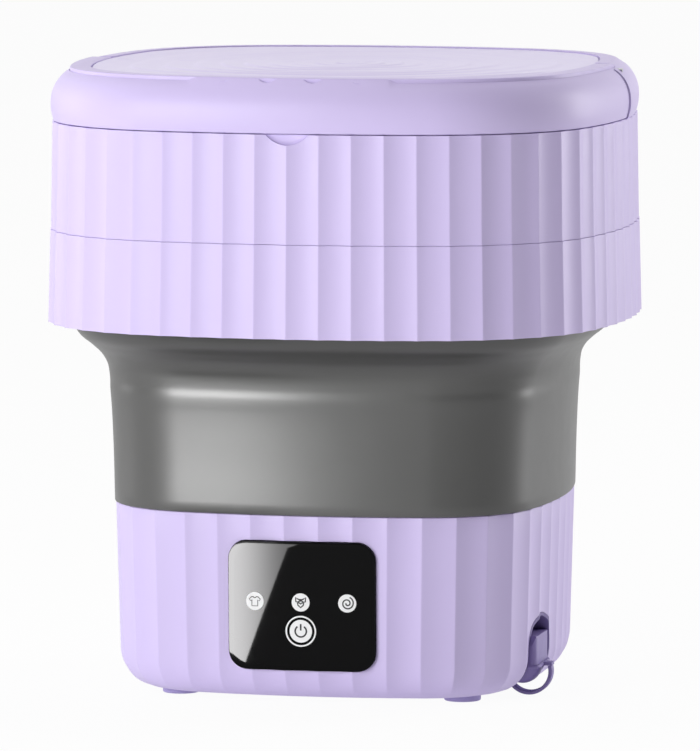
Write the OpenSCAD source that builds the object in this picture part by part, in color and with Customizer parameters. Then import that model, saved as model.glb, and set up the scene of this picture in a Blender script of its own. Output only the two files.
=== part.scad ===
// Folding bucket washer: fluted base with the drive, soft sleeve, fluted upper ring, lid with bail.
// Millimetres. The front faces -Y, the drain is on the +X side, the feet stand on z = 0.

/* [Upper ring] */
// Width across the lower edge of the upper ring
ring_w = 280; // [270:1:300]
// Width across the top edge of the upper ring
ring_top_w = 275.6; // [266:0.2:290]
// Number of flutes round the upper ring
ring_flutes = 60; // [48:4:72]
// Wall of the ring's shells, measured behind the flutes
ring_wall = 2.6; // [2:0.1:4]
// Height of the ring's lower edge with the sleeve drawn up
skirt_z = 179; // [172:1:186]
// Height of the seam between the two fluted bands
seam_z = 223.3; // [215:0.1:232]
// Height of the ring's top edge
rim_z = 275; // [268:0.5:282]

/* [Base] */
// Width across the top of the base
base_w = 213.4; // [206:0.2:220]
// Width across the base just above its rounded lower edge
base_foot_w = 209.6; // [202:0.2:216]
// Number of flutes round the base
base_flutes = 44; // [36:4:56]
// Height of the base's top edge
base_z = 92; // [86:1:98]
// Height of the base's underside
floor_z = 3.5; // [2:0.5:6]
// Radius of the rounded lower edge
toe_r = 17; // [12:1:20]
// Depth of a flute
flute_depth = 1.3; // [0.6:0.1:1.8]

/* [Sleeve] */
// Wall of the folding sleeve
sleeve_wall = 2.8; // [2:0.1:4]

/* [Lid] */
// Height of the lid's top face
top_z = 301; // [298:0.5:304]
// Half width of the flat ripple disc
disc_a = 119.2; // [110:0.2:120]
// Outer half width of the bail
bail_a = 129.4; // [126:0.2:130]
// Fore and aft place of the bail's pivots
pivot_y = 8; // [0:1:12]

/* [Control panel] */
// Width of the touch panel
panel_w = 71.4; // [60:0.2:80]
// Height of the touch panel
panel_h = 61.6; // [50:0.2:64]
// Corner radius of the touch panel
panel_r = 9; // [4:0.5:14]
// Height of the panel's middle
panel_z = 49.5; // [46:0.5:52]

/* [Drive] */
// Teeth of the motor pinion
pinion_teeth = 16; // [12:1:20]
// Teeth of the gear on the drive shaft
gear_teeth = 64; // [56:1:68]
// Gear module
gear_module = 1; // [0.9:0.05:1.05]
// Radius of the spin basket
basket_r = 88; // [80:1:90]
// Height of the spin basket's rim
basket_z = 158; // [130:1:159]

/* [Drain] */
// Fore and aft place of the drain niche
drain_y = -35; // [-40:1:-30]
// Half width of the niche, which is also its arch radius
niche_r = 18; // [15:0.5:19]
// Height of the arch's centre and of the outlet
drain_z = 22; // [18:1:26]

/* [Hidden] */

$fn = 64;
gap = 0.3;                        // clearance between separate pieces
fit = 0.07;                       // radial clearance of a shaft or pin in its bore
ring_plan = [2.23, 0.60];         // face and corner radius over the half width
base_plan = [3.04, 0.50];
ring_a = ring_w / 2;
ring_top_a = ring_top_w / 2;
base_a = base_w / 2;
base_foot_a = base_foot_w / 2;
base_back = 4;                    // wall and flute depth behind the base's outline
toe_z = floor_z + toe_r;
tub_floor_z = 71.5;               // top face of the tub's floor
tub_wall_a = 101.6;
sleeve_top_z = 204.7;
sleeve_top_a = 130;
inner_a = 128;                    // outside of the inner ring
inner_t = 2.5;
clamp_a = 130;                    // where the screws of the sleeve's upper clamp stand
flange_z = 272;                   // top face of the inner ring's flange
bail_w = 9.8;
bail_t = 6.7;
pivot_z = top_z - bail_t / 2;
lilac = [0.85, 0.81, 0.95];
grey = [0.55, 0.55, 0.54];
steel = [0.75, 0.76, 0.78];
dark = [0.12, 0.12, 0.13];
green = [0.10, 0.35, 0.22];

// ---------------------------------------------------------------- outlines

// Angle at which a face arc meets the corner arc
function corner_start(p) = acos(-(1 - p[0]) / (p[0] - p[1]) / sqrt(2)) - 45;

// Point of a bulged square with round corners: half width a, plan p, t quarter turns from the
// middle of the front face, moved inwards by d along its normal
function outline_at(a, p, t, d = 0) =
    let (rf = p[0] * a, rc = p[1] * a, s = corner_start(p),
         c = a - rf + (rf - rc) * cos(s),
         l1 = rf * s, q = 2 * l1 + rc * (90 - 2 * s),
         face = round(t), u = abs(t - face) * q, side = sign(t - face),
         on_face = u <= l1,
         g = on_face ? u / rf : s + (u - l1) / rc,
         n = on_face ? a - rf + (rf - d) * cos(g) : c + (rc - d) * cos(g),
         m = side * (on_face ? (rf - d) * sin(g) : c + (rc - d) * sin(g)),
         h = 90 * face - 90)
    [n * cos(h) - m * sin(h), n * sin(h) + m * cos(h)];

// Smooth outline of n points
function outline(a, p, n = 80, d = 0) = [for (i = [0:n - 1]) outline_at(a, p, 4 * i / n, d)];

// Fluted outline: shallow hollows between sharp edges, three points to a flute
function fluted(a, p, flutes, depth, phase = 0, d = 0) =
    [for (i = [0:3 * flutes - 1])
        let (u = (i % 3) / 3)
        outline_at(a, p, 4 * (i / 3 + phase) / flutes, d + 4 * depth * u * (1 - u))];

// Solid through a stack of outlines with the same number of points
module loft(rings, heights) {
    n = len(rings[0]);
    last = len(rings) - 1;
    points = [for (k = [0:last]) for (p = rings[k]) [p[0], p[1], heights[k]]];
    sides = [for (k = [0:last - 1]) for (i = [0:n - 1])
        let (a = k * n + i, b = k * n + (i + 1) % n) [a, a + n, b + n, b]];
    caps = [[for (i = [0:n - 1]) i], [for (i = [n - 1:-1:0]) last * n + i]];
    polyhedron(points, concat(sides, caps));
}

// Closed wall through a loop of outlines: up the outside, then down the inside
module loft_wall(rings, heights) {
    n = len(rings[0]);
    count = len(rings);
    points = [for (k = [0:count - 1]) for (p = rings[k]) [p[0], p[1], heights[k]]];
    polyhedron(points, [for (k = [0:count - 1]) for (i = [0:n - 1])
        let (a = k * n, b = (k + 1) % count * n, j = (i + 1) % n) [a + i, b + i, b + j, a + j]]);
}

// Straight solid with a smooth outline, from z0 to z1
module block(a, p, z0, z1, d = 0) {
    translate([0, 0, z0]) linear_extrude(z1 - z0) polygon(outline(a, p, 80, d));
}

// Straight ring with smooth outlines
module band(a_out, a_in, p, z0, z1) {
    difference() {
        block(a_out, p, z0, z1);
        block(a_in, p, z0 - 1, z1 + 1);
    }
}

module tube(r_out, r_in, z0, z1) {
    translate([0, 0, z0]) difference() {
        cylinder(h = z1 - z0, r = r_out);
        translate([0, 0, -1]) cylinder(h = z1 - z0 + 2, r = r_in);
    }
}

module rounded_rect(w, h, r) {
    square([w - 2 * r, h], center = true);
    square([w, h - 2 * r], center = true);
    for (x = [-1, 1], y = [-1, 1]) translate([x * (w / 2 - r), y * (h / 2 - r)]) circle(r);
}

// Pan head screw pointing down from z, head above
module screw(r, length, z) {
    translate([0, 0, z - length]) cylinder(h = length, r = r);
    translate([0, 0, z]) cylinder(h = 1.4, r = 2 * r);
}

// The same screw pointing up from z, head below
module screw_up(r, length, z) {
    translate([0, 0, z]) mirror([0, 0, 1]) screw(r, length, 0);
}

// Places spread round a ring, at half width a
module around(a, p, n = 8) {
    for (i = [0:n - 1]) translate(concat(outline_at(a, p, 4 * (i + 0.5) / n), 0)) children();
}

// ---------------------------------------------------------------- base

// Half width of the base's outline at height z
function base_a_at(z) = base_foot_a + (base_a - base_foot_a) * (z - toe_z) / (base_z - toe_z);

module base_outer() {
    steps = 4;
    toe = [for (i = [0:steps]) 90 * i / steps];
    rings = [for (g = toe) fluted(base_foot_a, base_plan, base_flutes, flute_depth * g / 90, 0.5,
                                  toe_r * (1 - sin(g)))];
    top = fluted(base_a, base_plan, base_flutes, flute_depth, 0.5);
    loft(concat(rings, [top]), concat([for (g = toe) floor_z + toe_r * (1 - cos(g))], [base_z]));
}

module base_cavity() {
    loft([outline(base_foot_a, base_plan, 80, toe_r), outline(base_foot_a, base_plan, 80, toe_r / 2),
          outline(base_foot_a, base_plan, 80, base_back),
          outline(base_a_at(base_z + 1), base_plan, 80, base_back)],
         [floor_z + 3, floor_z + 6, toe_z, base_z + 1]);
}

// Arch-shaped prism of the drain niche, grown by g, from x0 to x1
module niche_prism(g, x0, x1) {
    translate([x0, drain_y, 0]) rotate([90, 0, 90]) linear_extrude(x1 - x0) {
        translate([0, drain_z]) circle(niche_r + g);
        translate([-niche_r - g, 0]) square([2 * (niche_r + g), drain_z]);
    }
}

cover_a = 72;
jack_x = -45;
jack_r = 2.75;
jack_z = 30;
screw_spots = [for (x = [-1, 1], y = [-1, 1]) [x * 54, y * 54]];

module base_shell() {
    color(lilac) difference() {
        base_outer();
        base_cavity();
        block(cover_a, base_plan, 0, floor_z + 4);
        niche_prism(0, 78, 120);
        on_panel() panel_prism(gap, 12);
        translate([jack_x, 80, jack_z]) rotate([-90, 0, 0]) cylinder(h = 40, r = 4.2);
        foot_places() translate([0, 0, floor_z - 1]) cylinder(h = 6, r = 2.6);
    }
}

module bottom_cover() {
    color(lilac) difference() {
        union() {
            block(cover_a - gap, base_plan, floor_z, floor_z + 2.6);
            band(cover_a - 3, cover_a - 5.5, base_plan, floor_z + 2.6, floor_z + 4.6);
        }
        for (s = screw_spots) translate([s[0], s[1], 0]) cylinder(h = 20, r = 1.8);
        for (i = [-4:4]) translate([i * 8 - 1.5, -30, 0]) cube([3, 34, 20]);
    }
}

module cover_screws() {
    color(steel) for (s = screw_spots) translate([s[0], s[1], 0]) screw_up(1.6, 8, floor_z);
}

foot_x = 69;
foot_y = 60;
module foot_places() {
    for (x = [-1, 1], y = [-1, 1]) translate([x * foot_x, y * foot_y, 0]) children();
}

module foot_pads() {
    color([0.80, 0.78, 0.86]) foot_places() {
        cylinder(h = floor_z, r = 8.8);
        cylinder(h = floor_z + 2.8, r = 2.4);
    }
}

drain_x = 58;
bracket_z = 46;                   // underside of the motor bracket
post_spots = [[38, 28], [38, -28], [-62, 30], [-62, -30]];

module tub_floor() {
    color([0.88, 0.86, 0.95]) difference() {
        union() {
            block(tub_wall_a, base_plan, tub_floor_z - 3.5, base_z + 5);
            translate([0, 0, 60]) cylinder(h = 10, r = 14);
            for (s = post_spots) translate([s[0], s[1], 49.5]) cylinder(h = 20, r = 5);
        }
        block(tub_wall_a - 3, base_plan, tub_floor_z, base_z + 6);
        cylinder(h = 100, r = 9.15);
        translate([drain_x, drain_y, 50]) cylinder(h = 40, r = 9.15);
        for (s = post_spots) translate([s[0], s[1], 48]) cylinder(h = 12, r = 1.7);
    }
}

module sleeve_clamp_lower() {
    color(steel) band(base_a - base_back + 0.5, tub_wall_a + 0.3, base_plan, base_z + 0.8, base_z + 4.6);
}

// Outer profile of the sleeve as half width and height: straight wall, slight fold ridge,
// flared shoulder, and the flange held by the ring
sleeve_profile = [[106.4, base_z], [107.6, 120], [108.8, 144], [109.2, 149], [109.0, 154],
    [110.6, 160.5], [113.6, 164.5], [118.6, 168.5], [124.4, 173], [128.4, 180], [sleeve_top_a, 192],
    [sleeve_top_a, sleeve_top_z]];
// Plan of the sleeve at a height: the base's below, the ring's above
function sleeve_plan(z) = let (w = max(0, min(1, (z - 155) / 35))) base_plan + w * (ring_plan - base_plan);

module sleeve() {
    heights = [for (s = sleeve_profile) s[1]];
    last = len(heights) - 1;
    color(grey) difference() {
        loft([for (s = sleeve_profile) outline(s[0], sleeve_plan(s[1]), 64)], heights);
        loft([for (i = [0:last]) outline(sleeve_profile[i][0], sleeve_plan(heights[i]), 64, sleeve_wall)],
             [for (i = [0:last]) i == 0 ? base_z - 1 : i == last ? sleeve_top_z + 1 : heights[i]]);
    }
}

// ---------------------------------------------------------------- control panel

panel_arc = base_plan[0] * base_a;          // the panel follows the front face's curve
panel_t = 3;
panel_y = base_a_at(panel_z) + 0.7;
panel_tilt = atan((base_a - base_foot_a) / (base_z - toe_z));

module on_panel() {
    translate([0, -panel_y, panel_z]) rotate([panel_tilt, 0, 0]) children();
}

module panel_prism(g, depth) {
    rotate([90, 0, 0]) translate([0, 0, -depth]) linear_extrude(depth + 10)
        rounded_rect(panel_w + 2 * g, panel_h + 2 * g, panel_r + g);
}

// Flat round piece on the panel's face: ring from r_in to r_out at x, z, standing t proud
module on_face(x, z, r_out, r_in, t) {
    translate([0, panel_arc, 0]) rotate([0, 0, asin(x / panel_arc)]) translate([0, -panel_arc, z])
        rotate([90, 0, 0]) tube(r_out, r_in, 0, t);
}

icon_z = 2;
key_z = -11.8;

module control_panel() {
    color(dark) on_panel() intersection() {
        panel_prism(0, 12);
        translate([0, panel_arc, -40]) difference() {
            cylinder(h = 80, r = panel_arc, $fn = 200);
            translate([0, 0, -1]) cylinder(h = 82, r = panel_arc - panel_t, $fn = 200);
        }
    }
}

module panel_icons() {
    color("white") on_panel() for (x = [-22.4, 0, 22.4]) on_face(x, icon_z, 4.4, 3.9, 0.35);
}

module key_ring() {
    color("white") on_panel() on_face(0, key_z, 7.5, 6.7, 0.5);
}

module key_disc() {
    color("white") on_panel() on_face(0, key_z, 5.8, 5.3, 0.35);
}

module touch_board() {
    color(green) on_panel() {
        translate([-32, 5.4, -27]) cube([64, 1.6, 44]);
        for (x = [-22.4, 0, 22.4]) translate([x - 4, 7, icon_z - 4]) cube([8, 1.2, 8]);
        translate([-5, 7, key_z - 5]) cube([10, 1.2, 10]);
    }
}

module main_board() {
    color(green) translate([0, 46, 0]) {
        translate([-36, -18, 15]) cube([72, 36, 1.6]);
        for (x = [-32, 32], y = [-14, 14]) translate([x, y, floor_z + 2.6]) cylinder(h = 8.9, r = 2.5);
        for (x = [-24, -6, 12]) translate([x, 4, 16.6]) cylinder(h = 12, r = 4);
        translate([-26, -14, 16.6]) cube([18, 10, 5]);
        translate([8, -14, 16.6]) cube([20, 12, 9]);
    }
}

// ---------------------------------------------------------------- drive

gear_r = gear_module * gear_teeth / 2;
pinion_r = gear_module * pinion_teeth / 2;
motor_x = -(gear_r + pinion_r);
shaft_r = 4;

// Spur gear outline with straight-sided teeth; turn is the phase in teeth
module gear_outline(teeth, turn = 0) {
    r = gear_module * teeth / 2;
    tip = r + 0.85 * gear_module;
    root = r - 1.1 * gear_module;
    polygon([for (i = [0:teeth - 1]) for (k = [[-0.31, root], [-0.14, tip], [0.14, tip], [0.31, root]])
        let (g = 360 * (i + turn + k[0]) / teeth) [k[1] * cos(g), k[1] * sin(g)]]);
}

module motor() {
    color(steel) translate([motor_x, 0, 0]) difference() {
        union() {
            translate([0, 0, 9]) cylinder(h = 36.7, r = 17);
            translate([0, 0, 45.7]) cylinder(h = 4.5, r = 6);
        }
        translate([0, 0, 20]) cylinder(h = 40, r = 1.5 + fit);
    }
}

module motor_shaft() {
    color("silver") translate([motor_x, 0, 21]) cylinder(h = 42, r = 1.5);
}

module pinion() {
    color("white") translate([motor_x, 0, 53]) difference() {
        linear_extrude(8) gear_outline(pinion_teeth, 0.5);
        translate([0, 0, -1]) cylinder(h = 10, r = 1.55);
    }
}

module motor_bracket() {
    color([0.35, 0.36, 0.38]) difference() {
        translate([-12, 0, bracket_z]) linear_extrude(3.2) rounded_rect(120, 74, 10);
        translate([motor_x, 0, 40]) cylinder(h = 20, r = 6.3);
        translate([0, 0, 40]) cylinder(h = 20, r = 9.15);
        for (s = post_spots) translate([s[0], s[1], 40]) cylinder(h = 20, r = 1.7);
    }
}

module bracket_screws() {
    color(steel) for (s = post_spots) translate([s[0], s[1], 0]) screw_up(1.5, 11, bracket_z);
}

module bearing_lower() {
    color(steel) tube(9, shaft_r + fit, 45, 50.4);
}

module bearing_upper() {
    color(steel) tube(9, shaft_r + fit, 61, 67);
}

module shaft_seal() {
    color(dark) tube(9, shaft_r + fit, 67.2, tub_floor_z + 0.8);
}

module drive_gear() {
    color("ivory") translate([0, 0, 54]) difference() {
        union() {
            linear_extrude(5.6) gear_outline(gear_teeth);
            cylinder(h = 6.4, r = 8);
        }
        translate([0, 0, -1]) cylinder(h = 9, r = shaft_r + 0.05);
        for (i = [0:5]) rotate(60 * i) translate([19, 0, -1]) cylinder(h = 9, r = 6);
    }
}

module drive_shaft() {
    color("silver") {
        translate([0, 0, 43]) cylinder(h = 39, r = shaft_r);
        translate([0, 0, 51]) cylinder(h = 2.8, r = 6);
    }
}

disc_top = 79;
vane_r = 54;

module vane() {
    hull() {
        translate([19, 0, disc_top - 1]) cylinder(h = 8, r = 4, $fn = 32);
        translate([vane_r - 5, 6, disc_top - 1]) cylinder(h = 4, r = 3, $fn = 32);
        translate([vane_r - 16, 3, disc_top + 4]) sphere(5, $fn = 24);
    }
}

module pulsator() {
    color([0.90, 0.88, 0.97]) difference() {
        union() {
            translate([0, 0, 75.5]) cylinder(h = disc_top - 75.5, r = 64);
            translate([0, 0, 73.2]) cylinder(h = 3, r = 12);
            rotate_extrude()
                polygon([[0, disc_top - 1], [24, disc_top - 1], [17, 84], [14.5, 86.5], [0, 86.5]]);
            for (i = [0:2]) rotate(120 * i) vane();
        }
        translate([0, 0, 60]) cylinder(h = 22.3, r = shaft_r + 0.05);
        for (i = [0:5]) rotate(60 * i + 30) translate([61, 0, 70]) cylinder(h = 20, r = 1.7);
    }
}

module pulsator_cap() {
    color(lilac) rotate_extrude() polygon([[0, 86.5], [11, 86.5], [11, 87.6], [9, 88.6], [0, 88.9]]);
}

module basket_screws() {
    color(steel) for (i = [0:5]) rotate(60 * i + 30) translate([61, 0, 0]) screw(1.6, 5.6, 81.2);
}

module spin_basket() {
    slots = 18;
    color([0.93, 0.92, 0.97]) difference() {
        union() {
            tube(basket_r, basket_r - 2, disc_top + 0.2, basket_z);
            tube(basket_r, vane_r + 4, disc_top + 0.2, disc_top + 2.2);
            tube(basket_r + 2.5, basket_r - 2, basket_z - 2.4, basket_z);
        }
        for (i = [0:slots / 2 - 1]) rotate(360 * i / slots) translate([-100, -2, 92]) cube([200, 4, 54]);
        for (i = [0:5]) rotate(60 * i + 30) {
            translate([61, 0, 70]) cylinder(h = 20, r = 1.7);
            translate([75, 0, 70]) cylinder(h = 20, r = 4);
        }
    }
}

// ---------------------------------------------------------------- drain

outlet_r = 6.5;
niche_back = 80;
plug_x = 93.5;

module drain_niche() {
    color([0.62, 0.56, 0.76]) difference() {
        intersection() {
            niche_prism(-0.25, niche_back, 120);
            base_outer();
        }
        niche_prism(-1.8, niche_back + 1.8, 130);
        translate([niche_back + 2, drain_y - niche_r + 1.8, -1]) cube([60, 2 * niche_r - 3.6, drain_z]);
        translate([0, drain_y, drain_z]) rotate([0, 90, 0]) cylinder(h = 120, r = 9.2);
    }
}

module drain_pipe() {
    color([0.80, 0.78, 0.86]) difference() {
        union() {
            translate([drain_x, drain_y, drain_z]) cylinder(h = tub_floor_z - drain_z, r = 9);
            translate([drain_x, drain_y, drain_z]) sphere(9);
            translate([drain_x, drain_y, drain_z]) rotate([0, 90, 0]) cylinder(h = 24, r = 9);
        }
        translate([drain_x, drain_y, drain_z]) cylinder(h = 60, r = outlet_r);
        translate([drain_x, drain_y, drain_z]) sphere(outlet_r);
        translate([drain_x, drain_y, drain_z]) rotate([0, 90, 0]) cylinder(h = 60, r = outlet_r);
    }
}

module drain_strainer() {
    color(steel) translate([drain_x, drain_y, tub_floor_z]) difference() {
        cylinder(h = 1.6, r = 11.5);
        for (i = [0:5]) rotate(60 * i) translate([5, 0, -1]) cylinder(h = 5, r = 1.6);
        translate([0, 0, -1]) cylinder(h = 5, r = 1.6);
    }
}

bowl_z = 14.6;
bowl_r = 9.6;
flange_t = 1.6;
body_x = [niche_back + 2.3, 103.2];       // the stopper's body fills the niche from back to front
body_half = niche_r - 2.1;
body_top = 30;

// Stopper in the outlet: its body follows the niche, with a flange, a bowl and the loop's lug below
module drain_plug() {
    color([0.50, 0.43, 0.66]) {
        intersection() {
            body_plate(0, body_top);
            niche_prism(-2.1, niche_back, 120);
        }
        body_plate(1.2, bowl_z + flange_t);
        translate([0, drain_y, 0]) {
            translate([66, 0, drain_z]) rotate([0, 90, 0]) cylinder(h = 26, r = outlet_r - gap);
            translate([plug_x, -3, bowl_z]) cube([loop_x + loop_r - plug_x, 6, flange_t]);
            translate([plug_x, 0, bowl_z]) rotate_extrude() difference() {
                circle(bowl_r);
                translate([-20, -20]) square([20, 40]);
                translate([-1, 0]) square([20, 20]);
            }
        }
    }
}

// Upright plate with round corners on the stopper's plan, its front moved out by lip
module body_plate(lip, top) {
    length = body_x[1] + lip - body_x[0];
    translate([body_x[0] + length / 2, drain_y, bowl_z]) linear_extrude(top - bowl_z)
        rounded_rect(length, 2 * body_half, 4);
}

loop_r = 11.4;
loop_x = 96.9;
loop_z = 11.6;
module pull_loop() {
    color([0.70, 0.65, 0.86]) translate([loop_x, drain_y, loop_z]) rotate([90, 0, 0])
        difference() {
            translate([0, 0, -3]) cylinder(h = 6, r = loop_r);
            translate([0, 0, -4]) cylinder(h = 8, r = loop_r - 1.5);
            translate([plug_x - loop_x, bowl_z - loop_z, 0])
                cylinder(h = 8, r = bowl_r + 0.1, center = true);
            translate([-20, bowl_z - loop_z, -10]) cube([40, 20, 20]);
        }
}

module dc_jack() {
    color(dark) translate([jack_x, 0, jack_z]) difference() {
        union() {
            translate([-5.5, 76, -5.5]) cube([11, 13, 11]);
            translate([0, 88, 0]) rotate([-90, 0, 0]) cylinder(h = 17, r = 4);
        }
        translate([0, 97.5, 0]) rotate([-90, 0, 0]) cylinder(h = 20, r = jack_r);
        translate([0, 92, 0]) rotate([-90, 0, 0]) difference() {
            cylinder(h = 5.6, r = 2.5);
            translate([0, 0, -1]) cylinder(h = 8, r = 0.9);
        }
    }
}

module jack_nut() {
    color(steel) translate([jack_x, 103, jack_z]) rotate([-90, 0, 0]) difference() {
        cylinder(h = 1.8, r = 6.4, $fn = 6);
        translate([0, 0, -1]) cylinder(h = 4, r = 4.1);
    }
}

// ---------------------------------------------------------------- upper ring

seam_gap = 0.5;
skirt_top_a = ring_a - 1.1;
upper_low_a = ring_a - 1.7;
ring_in_a = ring_top_a - flute_depth - ring_wall;

// Fluted wall from half width a0 at z0 to a1 at z1, with a smooth inside at half width a_in
module fluted_band(a0, a1, z0, z1, a_in) {
    inside = outline(a_in, ring_plan, 3 * ring_flutes);
    outside = [for (a = [a0, a1]) fluted(a, ring_plan, ring_flutes, flute_depth)];
    loft_wall([outside[0], outside[1], inside, inside], [z0, z1, z1, z0]);
}

notch_w = 20.6;
notch_d = 5;
notch_r = (notch_w * notch_w / 4 + notch_d * notch_d) / (2 * notch_d);

module upper_shell() {
    color(lilac) difference() {
        fluted_band(upper_low_a, ring_top_a, seam_z + seam_gap, rim_z, ring_in_a);
        translate([0, -ring_in_a - 1, rim_z + notch_r - notch_d]) rotate([90, 0, 0])
            cylinder(h = 20, r = notch_r);
    }
}

module skirt_shell() {
    color(lilac) {
        fluted_band(ring_a, skirt_top_a, skirt_z, seam_z, ring_a - flute_depth - ring_wall);
        band(ring_in_a - gap, ring_in_a - 3, ring_plan, seam_z - 6, seam_z + 6);
        band(ring_a - flute_depth - ring_wall + 0.5, ring_in_a - 3, ring_plan, seam_z - 6, seam_z - 2);
    }
}

module inner_ring() {
    color([0.90, 0.88, 0.96]) difference() {
        union() {
            band(inner_a, inner_a - inner_t, ring_plan, sleeve_top_z + gap, flange_z);
            band(ring_in_a - gap, inner_a - 1, ring_plan, flange_z - 3, flange_z);
            band(sleeve_top_a + 1.2, inner_a - 1, ring_plan, sleeve_top_z + gap, sleeve_top_z + 3.3);
        }
        around(clamp_a, ring_plan, 12) translate([0, 0, sleeve_top_z]) cylinder(h = 6, r = 1);
    }
}

module sleeve_clamp_upper() {
    color(steel) band(sleeve_top_a - sleeve_wall - gap, sleeve_top_a - sleeve_wall - 3.4, ring_plan,
                      sleeve_top_z - 6, sleeve_top_z);
}

module ring_screws() {
    color(steel) around(clamp_a, ring_plan, 12) screw(0.9, 2.6, sleeve_top_z + 3.3);
}

// ---------------------------------------------------------------- lid

lid_z = rim_z + 0.4;
lid_roof_z = 291;
grip_w = 98;
lid_profile = [[137.0, lid_z], [138.0, 278.6], [138.4, 284], [137.5, 289.5], [135.2, 294],
    [132.4, 297], [129.9, 299.2]];
finger_x = 21.7;

boss_a = 117.6;

module lid_shell() {
    color(lilac) {
        difference() {
            union() {
                loft([for (s = lid_profile) outline(s[0], ring_plan, 80)], [for (s = lid_profile) s[1]]);
                block(bail_a + gap, ring_plan, top_z - 4, top_z);
                intersection() {
                    block(bail_a + 2.4, ring_plan, top_z - 4, top_z - 0.1);
                    translate([-grip_w / 2, -200, top_z - 5]) cube([grip_w, 100, 10]);
                }
            }
            block(134, ring_plan, lid_z - 1, 285);
            block(126.5, ring_plan, 284, lid_roof_z);
            block(disc_a - 4, ring_plan, lid_roof_z - 1, top_z - 6);
            block(disc_a + gap, ring_plan, top_z - 3.6, top_z + 1);
            bail_recess();
            for (i = [-1.5:1.5]) translate([i * finger_x, -bail_a + 1, top_z + 3.6]) rotate([90, 0, 0])
                cylinder(h = 6, r = 6);
            cover_slots(gap);
            pin_bores(128, 1.2 + fit);
        }
        around(boss_a, ring_plan) tube(4.5, 1.5, lid_z, lid_roof_z + 0.5);
    }
}

module bail_recess() {
    difference() {
        block(bail_a + gap, ring_plan, top_z - bail_t - 0.5, top_z + 1);
        block(bail_a - bail_w - gap, ring_plan, top_z - bail_t - 2, top_z + 2);
        translate([-150, pivot_y + bail_t / 2 + 0.5, 280]) cube([300, 200, 40]);
    }
}

// The slots that hold the two side covers, grown by g
module cover_slots(g) {
    for (x = [-1, 1]) scale([x, 1, 1])
        translate([131 - g, pivot_y - 8 - g, lid_z - 1]) cube([12, 16 + 2 * g, 30]);
}

module side_covers() {
    color(lilac) difference() {
        intersection() {
            loft([for (s = lid_profile) outline(s[0] + 1, ring_plan, 80)],
                 [for (s = lid_profile) s[1] + (s[1] > 280 ? 0.8 : 0)]);
            cover_slots(0);
        }
        pin_bores(130, 1.2 + fit);
    }
}

// Bores along the bail's pivot axis from x = x0 outwards, on both sides
module pin_bores(x0, r) {
    for (x = [-1, 1]) translate([x * x0, pivot_y, pivot_z]) rotate([0, x * 90, 0]) cylinder(h = 4, r = r);
}

module lid_disc() {
    color([0.90, 0.87, 0.97]) difference() {
        union() {
            block(disc_a - 0.2, ring_plan, top_z - 3.4, top_z - 0.6);
            for (k = [1:7]) translate([k, -2 * k, 0]) tube(14.4 * k, 14.4 * k - 5, top_z - 1, top_z - 0.1);
        }
    }
}

module lid_liner() {
    color([0.93, 0.92, 0.97]) difference() {
        union() {
            block(133.4, ring_plan, flange_z + gap, lid_z);
            band(inner_a - inner_t - 0.7, inner_a - inner_t - 4, ring_plan, 264, flange_z + 1);
        }
        band(200, inner_a - inner_t - 2, ring_plan, 266, 269);
        around(boss_a, ring_plan) translate([0, 0, 260]) cylinder(h = 30, r = 1.7);
    }
}

module lid_seal() {
    color([0.75, 0.74, 0.78]) band(inner_a - inner_t - 0.4, inner_a - inner_t - 1.8, ring_plan, 266.3, 268.7);
}

module lid_screws() {
    color(steel) around(boss_a, ring_plan) screw_up(1.4, 11, flange_z + gap);
}

module pivot_pins() {
    color(steel) for (x = [-1, 1]) translate([x * (bail_a - bail_w + 3), pivot_y, pivot_z])
        rotate([0, x * 90, 0]) cylinder(h = bail_w + 1.2, r = 1.2);
}

module handle_bail() {
    color(lilac) difference() {
        intersection() {
            band(bail_a, bail_a - bail_w, ring_plan, top_z - bail_t, top_z);
            union() {
                translate([-150, -150, top_z - 20]) cube([300, 150 + pivot_y, 40]);
                translate([-150, pivot_y, pivot_z]) rotate([0, 90, 0]) cylinder(h = 300, r = bail_t / 2);
            }
        }
        translate([-150, pivot_y, pivot_z]) rotate([0, 90, 0]) cylinder(h = 300, r = 1.2 + fit);
    }
}

base_shell();
bottom_cover();
cover_screws();
foot_pads();
tub_floor();
sleeve();
sleeve_clamp_lower();
control_panel();
panel_icons();
key_ring();
key_disc();
touch_board();
main_board();
motor();
motor_bracket();
bracket_screws();
bearing_lower();
bearing_upper();
shaft_seal();
drain_niche();
drain_pipe();
drain_strainer();
dc_jack();
jack_nut();
motor_shaft();
pinion();
drive_gear();
drive_shaft();
pulsator();
pulsator_cap();
spin_basket();
basket_screws();
drain_plug();
pull_loop();
upper_shell();
skirt_shell();
inner_ring();
sleeve_clamp_upper();
ring_screws();
lid_shell();
lid_disc();
lid_liner();
lid_seal();
lid_screws();
side_covers();
pivot_pins();
handle_bail();
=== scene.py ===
"""Looks of the folding bucket washer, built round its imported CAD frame.

Shapes are in millimetres until they are made.
"""

import logging
import math
from dataclasses import dataclass, field
from enum import Enum

import bmesh
import bpy
import numpy as np
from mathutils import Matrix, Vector


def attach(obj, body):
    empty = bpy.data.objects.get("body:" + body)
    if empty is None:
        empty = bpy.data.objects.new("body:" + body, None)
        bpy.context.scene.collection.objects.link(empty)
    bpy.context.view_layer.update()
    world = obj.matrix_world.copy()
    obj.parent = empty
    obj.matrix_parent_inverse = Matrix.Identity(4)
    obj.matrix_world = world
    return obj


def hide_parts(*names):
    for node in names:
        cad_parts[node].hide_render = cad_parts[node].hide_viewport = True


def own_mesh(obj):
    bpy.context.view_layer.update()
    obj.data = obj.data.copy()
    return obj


LOG = logging.getLogger("washer")
MM = 0.001
QUARTER = math.pi / 2
FULL = 2 * math.pi
SMOOTH_ANGLE = math.radians(30)
FAR = 160.0
OVER = (280.0, 320.0)
SQUARE = ((1, 1), (-1, 1), (-1, -1), (1, -1))

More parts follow.
